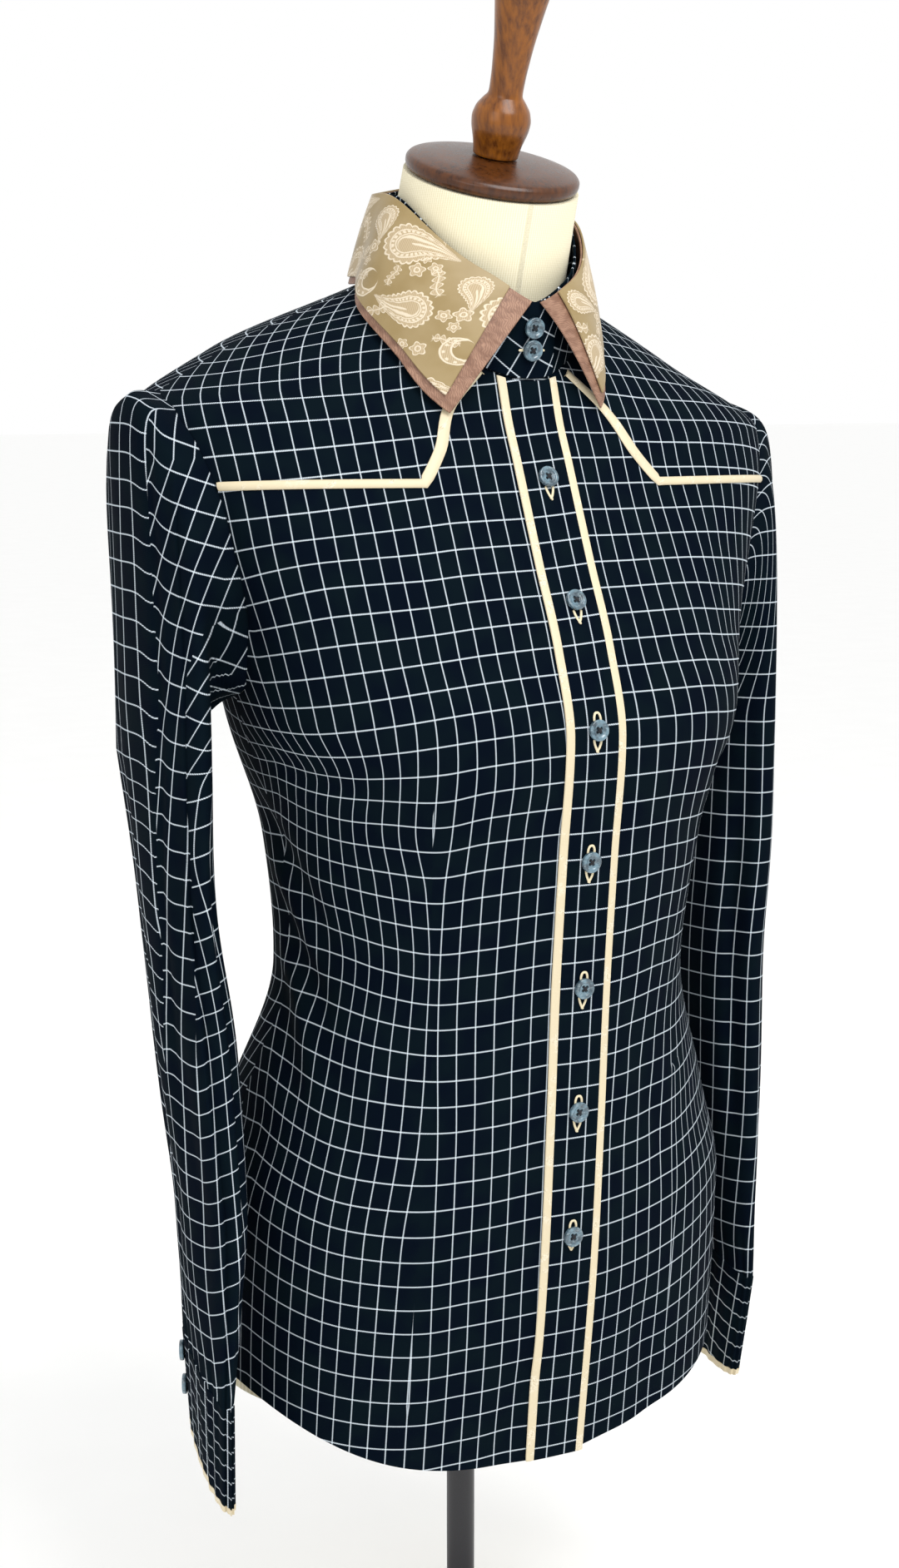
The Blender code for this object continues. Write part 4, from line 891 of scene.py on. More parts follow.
def right_sleeve_weave(points, across, along):
    """Three fields of check: outside the fold, on the front of the arm, and behind its crease."""
    around = ARM_ROUND
    aslant, level = points @ ASLANT, points[..., 2]
    at, side_at = FACETS.every(level), OUTSIDE.every(along)
    on_front, behind = numbered(aslant, at, ("t0", "t2", "t4")), numbered(aslant, at, ("i4", "i5", "i7"))
    edge = int(np.searchsorted(around, FACET_EDGE))
    turned_from = FACET_ENDS.read("around", along[:, 0])
    for row, end in enumerate(turned_from):
        last = int(np.searchsorted(around, end))
        for field in (on_front, behind):
            field[row, :last] = field[row, last] + (across[row, last] - across[row, :last]) / CELL_WIDE
            field[row, edge:] = field[row, edge] - (across[row, edge:] - across[row, edge]) / CELL_WIDE
    side_at["t5"] = side_at["t3"] + 2 * CELL_WIDE
    outside = numbered(across, side_at, ("t1", "t2", "t3", "t5"))
    from_crease = aslant - at["crease"]
    seen = np.clip(aslant - FACET_MIDDLE, *FACET_FALL)
    lift = np.exp(-((aslant - at["fold"]) / FACET_LIFT_REACH) ** 2) * FACET_LIFT
    row_front = FACET_LEVELS.read("row", level + at["fall"] * seen) + lift
    row_behind = FACET_LEVELS.read("row", level + at["fall_in"] * np.clip(from_crease, *BEHIND_FALL))
    row_behind = row_behind - at["step_in"]
    fold, (face_from, face_to) = side_at["fold"], OUTER_FACE
    row_outside = side_at["row"] - np.exp(-((across - fold) / OUTSIDE_LIFT_REACH) ** 2) * FACET_LIFT
    on_face = (around > face_from) & (around < face_to)
    fold_one = np.where(on_face, fold - across, np.where(around >= face_to, -FAR_OFF, FAR_OFF))
    fold_two = np.where(around < turned_from[:, None] - 5, -FAR_OFF, -from_crease)
    return check_fields((outside, behind, on_front), (row_outside, row_behind, row_front), fold_one, fold_two)


def lay(across, along):
    return {"lay": stacked(across, along, 0.0)}


def grid_lay(points):
    """Arcs across and along a grid of points, in mm, from the middle of its first row."""
    across = arc_lengths(points, 1)
    return lay(across - across[:, [points.shape[1] // 2]], arc_lengths(points, 0))


def ring_arcs(points, start_row=0):
    """Arcs round each ring from one place on it, and down each column from one ring."""
    across = arc_lengths(points, 1)
    zero = int(np.argmin(np.abs(ARM_ROUND - RING_ZERO)))
    along = arc_lengths(points, 0)
    return across - across[:, [zero]], along - along[start_row]


# ------------------------------------------------------------------ meshes


def new_object(node, name, vertices, faces, finish, fields=None):
    """One piece from points in mm, in a node's place; fields are vectors carried by its points."""
    mesh = bpy.data.meshes.new(name)
    mesh.from_pydata((np.asarray(vertices) * MM).tolist(), [], faces)
    work = bmesh.new()
    work.from_mesh(mesh)
    bmesh.ops.recalc_face_normals(work, faces=work.faces)
    work.to_mesh(mesh)
    work.free()
    mesh.shade_smooth()
    mesh.set_sharp_from_angle(angle=math.radians(SMOOTH_TO))
    for label, values in (fields or {}).items():
        layer = mesh.attributes.new(label, "FLOAT_VECTOR", "POINT")
        layer.data.foreach_set("vector", np.ascontiguousarray(values, dtype=np.float32).ravel())
    mesh.materials.append(finish)
    item = bpy.data.objects.new(name, mesh)
    bpy.context.collection.objects.link(item)
    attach(item, "root")
    if node:
        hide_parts(node)


def grid_faces(index, ring):
    """Four-cornered faces between the rows of a grid of vertex numbers."""
    if ring:
        index = np.concatenate([index, index[:, :1]], axis=1)
    return np.stack([index[:-1, :-1], index[:-1, 1:], index[1:, 1:], index[1:, :-1]], axis=-1).reshape(-1, 4)


def border(rows, columns, ring):
    """Loops of (row, column) round the edges of a grid."""
    if ring:
        return [[(0, j) for j in range(columns)], [(rows - 1, j) for j in range(columns)]]
    loop = [(0, j) for j in range(columns)]
    loop += [(i, columns - 1) for i in range(1, rows)]
    loop += [(rows - 1, j) for j in range(columns - 2, -1, -1)]
    return [loop + [(i, 0) for i in range(rows - 2, 0, -1)]]


def shell(node, name, outer, inner, finish, fields, ring=False):
    """A cloth wall between two grids, with softly rounded edges."""
    rows, columns = outer.shape[:2]
    total = rows * columns
    index = np.arange(total).reshape(rows, columns)
    quads = grid_faces(index, ring)
    faces = [quads, quads[:, ::-1] + total]
    vertices = [outer.reshape(-1, 3), inner.reshape(-1, 3)]
    values = {label: [field.reshape(-1, 3)] * 2 for label, field in fields.items()}
    below, total = total, 2 * total
    for loop in border(rows, columns, ring):
        i, j = np.array(loop).T
        near_i, near_j = np.clip(i, 1, rows - 2), j if ring else np.clip(j, 1, columns - 2)
        away = outer[i, j] - outer[near_i, near_j]
        away /= np.linalg.norm(away, axis=-1, keepdims=True) + 1e-9
        thick = np.linalg.norm(outer[i, j] - inner[i, j], axis=-1, keepdims=True)
        vertices.append((outer[i, j] + inner[i, j]) / 2 + away * thick * EDGE_ROUND)
        for label, field in fields.items():
            values[label].append(field[i, j])
        at, middle = index[i, j], total + np.arange(len(loop))
        after, middle_after = np.roll(at, -1), np.roll(middle, -1)
        faces.append(np.stack([at, after, middle_after, middle], axis=-1))
        faces.append(np.stack([middle, middle_after, after + below, at + below], axis=-1))
        total += len(loop)
    values = {label: np.concatenate(parts) for label, parts in values.items()}
    new_object(node, name, np.concatenate(vertices), np.concatenate(faces).tolist(), finish, values)


def closed_rings(rings):
    """Vertices and faces of a closed solid through a stack of rings."""
    index = np.arange(rings[..., 0].size).reshape(rings.shape[:2])
    ends = [index[0, ::-1].tolist(), index[-1].tolist()]
    return rings.reshape(-1, 3), grid_faces(index, True).tolist() + ends


def turned(node, name, profile, finish, place=lambda points: points, sides=ROUND_SIDES, steps=5):
    """A turned piece from (radius, height) points, rounded a little at its corners."""
    corners = np.array(profile, float)
    shares = np.linspace(0, 1, steps, endpoint=False)[None, :, None]
    points = corners[:-1, None] + (corners[1:] - corners[:-1])[:, None] * shares
    points = np.concatenate([points.reshape(-1, 2), corners[-1:]])
    for _ in range(2):
        points[1:-1] = (points[:-2] + 2 * points[1:-1] + points[2:]) / 4
    turn = np.linspace(0, 2 * math.pi, sides, endpoint=False)
    radius, height = np.maximum(points[:, :1], 0.05), points[:, 1:]
    rings = stacked(radius * np.cos(turn), radius * np.sin(turn), height)
    new_object(node, name, *closed_rings(place(rings)), finish)


# ------------------------------------------------------------------ material nodes

def tone(hex_colour):
    """An sRGB colour as the linear one that the shaders use."""
    parts = [int(hex_colour[k:k + 2], 16) / 255 for k in (0, 2, 4)]
    return tuple(c / 12.92 if c <= 0.04045 else ((c + 0.055) / 1.055) ** 2.4 for c in parts)


def feed(tree, value, socket):
    """Give a socket a number, a colour written as text, a Value or another node's output."""
    if isinstance(value, str):
        socket.default_value = (*tone(value), 1)
    elif isinstance(value, (int, float)):
        socket.default_value = value
    else:
        tree.links.new(getattr(value, "socket", value), socket)


class Value:
    """A number carried through a material's nodes, with plain arithmetic."""

    def __init__(self, tree, socket):
        self.tree, self.socket = tree, socket

    def op(self, operation, *others):
        node = self.tree.nodes.new("ShaderNodeMath")
        node.operation = operation
        for slot, value in enumerate((self, *others)):
            feed(self.tree, value, node.inputs[slot])
        return Value(self.tree, node.outputs[0])

    def wave(self, period):
        """0 to 1 and back over each period."""
        return (self * (2 * math.pi / period)).sin() * 0.5 + 0.5

    def from_middle(self, size):
        """Distance from the nearest whole number, in mm, where a whole number is size mm."""
        return ((self + 0.5).fract() - 0.5).abs() * size

    def edge(self, low, high):
        """0 at low, 1 at high, smooth between; low may be the larger."""
        node = self.tree.nodes.new("ShaderNodeMapRange")
        node.interpolation_type = "SMOOTHSTEP"
        flip = low > high
        values = (self, min(low, high), max(low, high), int(flip), int(not flip))
        for label, value in zip(("Value", "From Min", "From Max", "To Min", "To Max"), values):
            feed(self.tree, value, node.inputs[label])
        return Value(self.tree, node.outputs["Result"])

    def mix(self, first, second):
        """first where this is 0, second where it is 1."""
        return self * (second - first) + first


for method, operation in (
        ("__add__", "ADD"), ("__sub__", "SUBTRACT"), ("__mul__", "MULTIPLY"), ("__truediv__", "DIVIDE"),
        ("abs", "ABSOLUTE"), ("fract", "FRACT"), ("sin", "SINE"), ("cos", "COSINE"), ("sqrt", "SQRT"),
        ("power", "POWER"), ("least", "MINIMUM"), ("most", "MAXIMUM"), ("above", "GREATER_THAN"),
        ("angle", "ARCTAN2")):
    setattr(Value, method, functools.partialmethod(Value.op, operation))


class Look:
    """A material under construction."""

    def __init__(self, name, roughness, **settings):
        self.finish = bpy.data.materials.new(name)
        self.finish.use_nodes = True
        self.tree = self.finish.node_tree
        self.shader = self.tree.nodes["Principled BSDF"]
        for label, value in {"Roughness": roughness, **settings}.items():
            self.shader.inputs[label.replace("_", " ")].default_value = value

    def parts(self, kind, output, **settings):
        """The three numbers of a vector node's output."""
        node = self.tree.nodes.new(kind)
        for label, value in settings.items():
            setattr(node, label, value)
        split = self.tree.nodes.new("ShaderNodeSeparateXYZ")
        self.tree.links.new(node.outputs[output], split.inputs[0])
        return [Value(self.tree, socket) for socket in split.outputs]

    def field(self, name):
        return self.parts("ShaderNodeAttribute", "Vector", attribute_name=name)

    def place(self):
        """Object coordinates, in mm."""
        return [value * 1000.0 for value in self.parts("ShaderNodeTexCoord", "Object")]

    def noise(self, scale, detail, x, y, z=0.0):
        where = self.tree.nodes.new("ShaderNodeCombineXYZ")
        for slot, value in enumerate((x, y, z)):
            feed(self.tree, value, where.inputs[slot])
        node = self.tree.nodes.new("ShaderNodeTexNoise")
        for label, value in (("Scale", scale), ("Detail", detail), ("Vector", where.outputs[0])):
            feed(self.tree, value, node.inputs[label])
        return Value(self.tree, node.outputs["Fac"])

    def blend(self, share, first, second):
        """A colour between two colours."""
        node = self.tree.nodes.new("ShaderNodeMix")
        node.data_type = "RGBA"
        for slot, value in (("Factor", share), (6, first), (7, second)):
            feed(self.tree, value, node.inputs[slot])
        return node.outputs[2]

    def finish_with(self, colour, roughness=None, height=None, depth_mm=0.1, strength=1.0):
        feed(self.tree, colour, self.shader.inputs["Base Color"])
        if roughness is not None:
            feed(self.tree, roughness, self.shader.inputs["Roughness"])
        if height is not None:
            bump = self.tree.nodes.new("ShaderNodeBump")
            for label, value in (("Strength", strength), ("Distance", depth_mm * MM), ("Height", height)):
                feed(self.tree, value, bump.inputs[label])
            feed(self.tree, bump.outputs[0], self.shader.inputs["Normal"])
        return self.finish


# ------------------------------------------------------------------ looks

def check_look():
    """Near-black twill with thin off-white dotted lines that cross brighter."""
    look = Look("check_twill", 0.86, Specular_IOR_Level=0.025)
    fold_one, fold_two, _ = look.field("place")
    first, second = fold_one.above(0.0), fold_two.above(0.0)
    thread, row = (first.mix(one, second.mix(two, three))
                   for one, two, three in (look.field("weave"), look.field("rows")))
    across, along = thread * CELL_WIDE, row * CELL_TALL
    waver = look.noise(0.9, 1.0, across, along) * 0.16 - 0.08
    upright = (thread.from_middle(CELL_WIDE) + waver).edge(LINE_HALF + 0.16, LINE_HALF - 0.16)
    level = (row.from_middle(CELL_TALL) + waver).edge(LINE_HALF + 0.2, LINE_HALF - 0.12)
    slant = (across * 0.95 - along * 1.15).wave(TWILL)
    dots = slant.edge(0.1, 0.75)
    light = (upright * (dots * 0.34 + 0.40)).most(level * (dots * 0.5 + 0.34)).most(upright * level * 0.95)
    patches = look.noise(0.035, 2.0, across, along)
    ground = look.blend(patches.edge(0.35, 0.65), "020813", "051015")
    ground = look.blend(slant * 0.4, ground, "09131f")
    colour = look.blend(light, ground, "d6e1ea")
    return look.finish_with(colour, None, slant * 0.4 + light * 0.8, 0.12, 0.35)


class Motifs:
    """Ornaments drawn as distances in mm, joined into fill and outline."""

    def __init__(self, across, along):
        self.across, self.along = across, along
        self.wide, self.tall = REPEAT
        self.fill = self.line = None

    def local(self, x, y, turn, size):
        """Coordinates round the nearest copy of a place, turned and in units of size."""
        a = (((self.across - x) / self.wide + 0.5).fract() - 0.5) * (self.wide / size)
        b = (((self.along - y) / self.tall + 0.5).fract() - 0.5) * (self.tall / size)
        cos, sin = math.cos(math.radians(turn)), math.sin(math.radians(turn))
        return a * cos + b * sin, b * cos - a * sin

    def add(self, fill, line):
        self.fill = fill if self.fill is None else self.fill.most(fill)
        self.line = line if self.line is None else self.line.most(line)

    def paisley(self, a, b, bend=0.35, beads=22):
        """A drop with a bent tip: core, rings, a beaded band and a scalloped edge."""
        up = b.most(0.0)
        a = a - up * up * bend
        narrow = (up / 2.1).power(1.6).op("SUBTRACT", 1.0).abs().most(0.04)
        low = b.least(0.0)
        reach = ((a / narrow).power(2.0) + low * low).sqrt() + b.edge(2.0, 2.1) * 5.0
        round_it = a.angle(b - 0.25)
        edge = reach - (round_it * (beads / 2)).sin().abs() * 0.13
        line = (edge - 1.0).abs().edge(0.07, 0.03)
        line = line.most((reach - 0.80).abs().edge(0.05, 0.02))
        bead = (round_it * (beads / 2) + 0.8).sin().abs().edge(0.35, 0.8)
        line = line.most(bead * (reach - 0.68).abs().edge(0.09, 0.05))
        line = line.most((reach - 0.53).abs().edge(0.045, 0.02))
        line = line.most((reach * 9.0 + round_it).sin().edge(0.3, 0.9) * reach.edge(0.47, 0.42))
        self.add(edge.edge(1.06, 1.0), line)

    def flower(self, a, b, petals=5):
        reach = (a * a + b * b).sqrt()
        edge = reach / ((a.angle(b) * petals).cos() * 0.16 + 0.84)
        line = (edge - 0.95).abs().edge(0.11, 0.04)
        self.add(edge.edge(1.04, 0.96), line.most((reach - 0.3).abs().edge(0.12, 0.04)))

    def crescent(self, a, b, beads=9):
        """A curled leaf: a disc with an offset disc cut out, with dots along it."""
        outer = (a * a + b * b).sqrt()
        c, d = a - 0.32, b - 0.22
        inner = (c * c + d * d).sqrt() / 0.72
        body = outer.op("SUBTRACT", 1.0).most(inner.op("MULTIPLY", -0.72) + 0.72)
        dots = (a.angle(b) * beads).sin().edge(0.1, 0.7)
        line = (body + 0.02).abs().edge(0.08, 0.03)
        line = line.most((outer - 0.78).abs().edge(0.11, 0.05) * dots * body.edge(-0.03, -0.08))
        self.add(body.edge(0.05, -0.01), line)

    def sprig(self, a, b):
        """A wavy stem with small leaves on both sides."""
        stem = (a - (b * 2.4).sin() * 0.22).abs()
        ends = b.abs().edge(1.15, 1.0)
        body = stem - ((b * 6.5).sin().abs() * 0.34 + 0.05)
        self.add(body.edge(0.04, -0.02) * ends, body.abs().edge(0.07, 0.02).most(stem.edge(0.06, 0.02)) * ends)


def brocade_look():
    """Olive-gold satin with woven paisleys, flowers and leaves in pale gold."""
    look = Look("paisley_brocade", 0.5, Specular_IOR_Level=0.45, Sheen_Weight=0.15, Sheen_Roughness=0.4)
    across, along, _ = look.field("lay")
    wobble = look.noise(0.25, 1.0, across, along) * 1.2 - 0.6
    motifs = Motifs(across + wobble, along - wobble)
    for name, x, y, turn, size in MOTIFS:
        getattr(motifs, name)(*motifs.local(x, y, turn, size))
    fill, line = motifs.fill, motifs.line
    fine = look.noise(1.2, 2.0, across * 0.6, along * 3.0)
    # painted sheen: soft patches of the satin ground are painted a little lighter, as if catching the light
    painted_shimmer = look.noise(0.05, 2.0, across, along)
    ground = look.blend(painted_shimmer.edge(0.3, 0.7), "867247", "927f58")
    ground = look.blend(fine * 0.25, ground, "8f7546")
    hatch = ((across + along * 0.6) * 5.2).sin() * 0.5 + 0.5
    colour = look.blend(fill * 0.92, ground, look.blend(hatch.edge(0.2, 0.8), "a18d6d", "b3a182"))
    colour = look.blend(line * 0.85, colour, "d2c5ae")
    return look.finish_with(colour, fill * 0.2 + 0.42, fill * 0.5 + line * 0.5 + fine * 0.25, 0.22, 0.6)


def taupe_look():
    """Taupe moire: fine wavy ribs over soft light and dark bands."""
    look = Look("taupe_moire", 0.5, Specular_IOR_Level=0.4)
    across, along, _ = look.field("lay")
    drift = look.noise(0.12, 2.0, across, along) * 9.0
    ribs = (across * 0.8 + along * 0.9 + drift).wave(1.5)
    bands = look.noise(0.22, 2.0, across * 0.5, along + drift)
    colour = look.blend(bands.edge(0.3, 0.7), "7b5946", "a07c66")
    colour = look.blend(ribs * 0.55, colour, "654638")
    return look.finish_with(colour, bands * 0.2 + 0.4, ribs, 0.12, 0.5)


def trim_look():
    """Cream satin binding, with bits of the woven pattern passing along it."""
    look = Look("cream_gold_binding", 0.48, Specular_IOR_Level=0.4)
    across, along, _ = look.field("lay")
    figured = look.noise(0.11, 3.0, across * 0.8, along).edge(0.54, 0.62)
    vein = (look.noise(0.75, 2.0, across, along) - 0.5).abs().edge(0.05, 0.01)
    weave = along.wave(0.7)
    plain = look.blend(weave * 0.4, "d1c4a6", "c3b493")
    colour = look.blend(figured * 0.6, plain, look.blend(vein, "e2dac6", "a8946a"))
    return look.finish_with(colour, figured * 0.2 + 0.42, weave * 0.3 + figured * 0.4 - vein * 0.5, 0.15, 0.5)


def strand_look(name, slant, period, dark, light, depth, strength):
    """Twisted thread; slant holds the shares of x, y and z across its twist."""
    look = Look(name, 0.7)
    x, y, z = look.place()
    twist = (x * slant[0] + y * slant[1] + z * slant[2]).wave(period)
    return look.finish_with(look.blend(twist, dark, light), None, twist, depth, strength)


def pearl_look():
    """Grey-blue mother-of-pearl with soft clouds and a clear polish."""
    look = Look("blue_pearl", 0.22, Coat_Weight=0.6, Coat_Roughness=0.08, Specular_IOR_Level=0.6)
    x, y, z = look.place()
    cloud = look.noise(0.22, 3.0, x, y * 0.6, z)
    vein = look.noise(0.5, 3.0, x, y, z * 2.0)
    colour = look.blend(cloud.edge(0.35, 0.68), "2f414c", "5f7c8a")
    colour = look.blend(vein.edge(0.5, 0.75) * 0.55, colour, "8da1a8")
    return look.finish_with(colour, cloud * 0.2 + 0.12, cloud, 0.1, 0.3)


def jersey_look():
    """Cream knitted cover with fine upright ribs and a few faint marks."""
    look = Look("cream_jersey", 0.9, Sheen_Weight=0.1, Specular_IOR_Level=0.25)
    around, up, _ = look.field("lay")
    rib, stitch = around.wave(RIB), up.wave(1.3)
    marks = look.noise(0.02, 4.0, around, up).edge(0.45, 0.75)
    colour = look.blend(rib * 0.8 + stitch * 0.2, "dbd1ae", "f0e9d0")
    colour = look.blend(marks * 0.5, colour, "e2d8b6")
    return look.finish_with(colour, None, rib * 0.8 + stitch * 0.3, 0.25, 0.5)


def wood_look(name, dark, light, along_grain):
    """Polished turned wood; along_grain is how much the grain is drawn out in height."""
    look = Look(name, 0.3, Coat_Weight=0.12, Coat_Roughness=0.2, Specular_IOR_Level=0.35)
    x, y, z = look.place()
    grain = look.noise(0.35, 5.0, x, y, z * along_grain)
    pores = look.noise(0.5, 2.0, x * 4.0, y * 4.0, z * (along_grain * 2.0))
    tint = look.noise(0.03, 2.0, x, y, z)
    colour = look.blend(grain.edge(0.25, 0.75), dark, light)
    colour = look.blend(pores.edge(0.55, 0.8) * 0.4, colour, dark)
    colour = look.blend(tint.edge(0.4, 0.7) * 0.35, colour, light)
    return look.finish_with(colour, grain * 0.2 + 0.2, pores, 0.15, 0.4)


def metal_look():
    look = Look("satin_black_paint", 0.4)
    fine = look.noise(1.2, 3.0, *look.place())
    return look.finish_with(look.blend(fine, "16161a", "26262b"), fine * 0.15 + 0.33, fine, 0.05, 0.3)


def floor_look():
    look = Look("pale_floor", 0.7)
    fine = look.noise(0.01, 3.0, *look.place())
    return look.finish_with(look.blend(fine, "f9f9f8", "fefefd"))


CHECK = check_look()
GOLD = brocade_look()
TRIM = trim_look()
TAUPE = taupe_look()
PEARL = pearl_look()
JERSEY = jersey_look()
DARK_WOOD = wood_look("dark_turned_wood", "281104", "522a06", 0.35)
GOLDEN_WOOD = wood_look("golden_turned_wood", "4f2703", "844c08", 0.12)
METAL = metal_look()
BINDING = strand_look("cream_thread", (0.4, 0.0, 1.0), 0.8, "cdbf9b", "e0d5b8", 0.15, 0.6)
THREAD = strand_look("black_thread", (1.0, 1.0, 1.0), 0.5, "07080c", "1b1e26", 0.1, 0.5)


# ------------------------------------------------------------------ panels of the shirt

def front_grid(side):
    outer_column = upright(UPRIGHT_TO, FRONT_LEVELS)
    outer_column[0] = (outer_column[0][0], HEM + hem_lift(side * outer_column[0][0]))
    inner_x = (FRONTS_MEET + side * SEAM / 2) * side
    inner_columns = [upright(x, FRONT_LEVELS)
                     for x in np.linspace(inner_x, UPRIGHT_TO, UPRIGHT_COLUMNS + 1)[:-1]]
    top = [outer_column[-1]] + yoke_line(-SEAM / 2)
    bottom = line(outer_column[0], (90 - seam_angle(HEM), HEM), len(top) - 1)
    bottom = [(angle, level + hem_lift(side * angle)) for angle, level in bottom]
    right = side_seam("front", hem_lift(side * 90)) + armhole(0, YOKE_AT, ROWS_BESIDE_ARM, "front")
    right[-1] = top[-1]
    grid = patch(bottom, top, outer_column, right)
    return np.concatenate([np.array(inner_columns).transpose(1, 0, 2), grid], axis=1)


def front_yoke_grid():
    bottom = yoke_line(SEAM / 2)
    right = armhole(YOKE_AT, 1, ROWS_ABOVE_YOKE, "front")
    right[0] = bottom[-1]
    neck = (90 - seam_angle(NECK), NECK - SEAM)
    top = line(neck, right[-1], len(bottom) - 1)
    return patch(bottom, top, line(bottom[0], neck, ROWS_ABOVE_YOKE), right)


def back_grid():
    top = back_yoke_line(-SEAM / 2)
    left = side_seam("back") + armhole(0, BACK_YOKE_AT, ROWS_BESIDE_ARM, "back")
    left[-1] = top[0]
    right = mirror_back(left)
    return patch(line(left[0], right[0], COLUMNS_BACK), top, left, right)


def back_yoke_grid():
    bottom = back_yoke_line(SEAM / 2)
    left = armhole(BACK_YOKE_AT, 1, ROWS_ABOVE_YOKE, "back")
    left[0] = bottom[0]
    right = mirror_back(left)
    neck = back_neck_points()
    top = (line(left[-1], neck[0], COLUMNS_SHOULDER)[:-1] + neck[:-1]
           + line(neck[-1], right[-1], COLUMNS_SHOULDER))
    return patch(bottom, top, left, right)


def piping_grid():
    edges = []
    for way in (-1, 1):
        half, aside, slant = way * PIPING / 2, way * PIPING / 2 / PIPING_ARC, COLUMNS_ON_SLANT
        edge = np.array(yoke_line(0))
        edge[:slant] += (aside, PIPING_SLANT * half)
        edge[slant] += (PIPING_MITRE * aside, half)
        edge[slant + 1:, 1] += half
        edge[0, 1] = NECK - PIPING_NECK_DROP
        edge[-1, 0] -= PIPING_ARM_GAP
        edges.append(edge)
    low, high = edges
    return low[None] + (high - low)[None] * np.linspace(0, 1, 6)[:, None, None]


def collar_points(shares, inset, columns):
    """Points round the collar, right tip to left tip; the last row is the outer edge."""
    start = COLLAR_START + inset
    angles = start + (180 - start) * np.linspace(0, 1, columns)[None, :] ** COLLAR_CROWD
    right, left = (collar_point(angles, shares * np.ones(angles.shape), side) for side in (-1, 1))
    return np.concatenate([right, left[:, -2::-1]], axis=1)


def panel(node, name, grid, finish, fields, side=1, low=-WALL, high=0.0, crown=0.0, crown_axis=0):
    """A panel of the torso surface; side -1 mirrors it to the wearer's right."""
    swell = crown * (1 - np.linspace(-1, 1, grid.shape[crown_axis]) ** 2)
    swell = (swell[:, None] if crown_axis == 0 else swell[None]) * np.ones(grid.shape[:2])
    outer = torso(side * grid[..., 0], grid[..., 1], high + swell)
    inner = torso(side * grid[..., 0], grid[..., 1], low)
    shell(node, name, outer, inner, finish, fields)


for side, label in SIDES:
    grid = front_grid(side)
    panel(f"front_{label}", f"cloth_front_{label}", grid, CHECK, front_weave(grid, side), side)
    grid = front_yoke_grid()
    panel(f"front_yoke_{label}", f"cloth_front_yoke_{label}", grid, CHECK,
          front_weave(grid, side, YOKE_SHIFT[side]), side)
    grid = piping_grid()
    u, v = arcs(grid, side)
    panel(f"yoke_piping_{label}", f"trim_yoke_{label}", grid, TRIM,
          lay(np.linspace(0, PIPING, len(grid))[:, None], u - v), side, LAY_GAP, LAY_TOP - 0.6, 0.9)
for node, grid, shift in (("back", back_grid(), 0.0), ("back_yoke", back_yoke_grid(), YOKE_SHIFT[0])):
    panel(node, f"cloth_{node}", grid, CHECK, back_weave(grid, shift))

grid = strip_grid(-PLACKET_HALF, PLACKET_HALF, 15)
u, v = arcs(grid)
rise = PLACKET_RISE * smooth_step(v, PLACKET_RISE_FROM, PLACKET_RISE_TO) * (u / PLACKET_HALF + 1) / 2
panel("placket", "cloth_placket", grid, CHECK, plain_weave(u / PLACKET_CELL + 0.5, row_number(v - rise, -1)),
      1, LAY_GAP, LAY_TOP)
inner_x, outer_x = PLACKET_HALF + SEAM, PLACKET_EDGE
for label, low_x, high_x, start in (("left", inner_x, outer_x, 40), ("right", -outer_x, -inner_x, 0)):
    grid = strip_grid(low_x, high_x, 5)
    u, v = arcs(grid)
    panel(f"placket_stripe_{label}", f"trim_stripe_{label}", grid, TRIM, lay(u, v + start),
          1, LAY_GAP, LAY_TOP - 0.2, 0.3, 1)

# collar
angles = stand_angles()
angles = np.interp(np.linspace(0, 1, 260), np.linspace(0, 1, len(angles)), angles)
ending = np.clip((angles[-1] - angles) / STAND_END_COLUMN, 0, 1)
top = np.where(ending < 1, STAND_END_LOW + (1 - STAND_END_LOW) * np.sqrt(1 - (1 - ending) ** 2), 1)
shares = np.linspace(0, 1, 18)[:, None] * top[None]
step = STAND_STEP * smooth_step(angles, STAND_STEP_FROM, STAND_STEP_TO)
outer, inner = stand_point(angles, shares, step), stand_point(angles, shares, step - STAND_WALL)
across = arc_lengths(outer[0], 0)
across = across - np.interp(360, angles, across)
height = outer[..., 2] - outer[:1, :, 2]
bias = math.radians(STAND_BIAS)
shell("collar_stand", "cloth_collar_stand", outer, inner, CHECK, plain_weave(
    (across * math.cos(bias) - height * math.sin(bias)) / CELL_WIDE + 0.1,
    (across * math.sin(bias) + height * math.cos(bias)) / CELL_TALL + 0.2))
shares = np.linspace(0, 1, COLLAR_ROWS)[:, None]
under = collar_points(shares, 0 * shares, COLLAR_COLUMNS_HALF + 10)
shell("collar_under", "trim_collar_under", under, offset_grid(under, -COLLAR_WALL), TAUPE, grid_lay(under))
shares = np.linspace(0, TOP_SHARE, COLLAR_ROWS)[:, None]
over = collar_points(shares, TOP_INSET_FOLD + (TOP_INSET_TIP - TOP_INSET_FOLD) * shares, COLLAR_COLUMNS_HALF)
shell("collar_top", "trim_collar_top", offset_grid(over, COLLAR_GAP + COLLAR_WALL),
      offset_grid(over, COLLAR_GAP), GOLD, grid_lay(over))

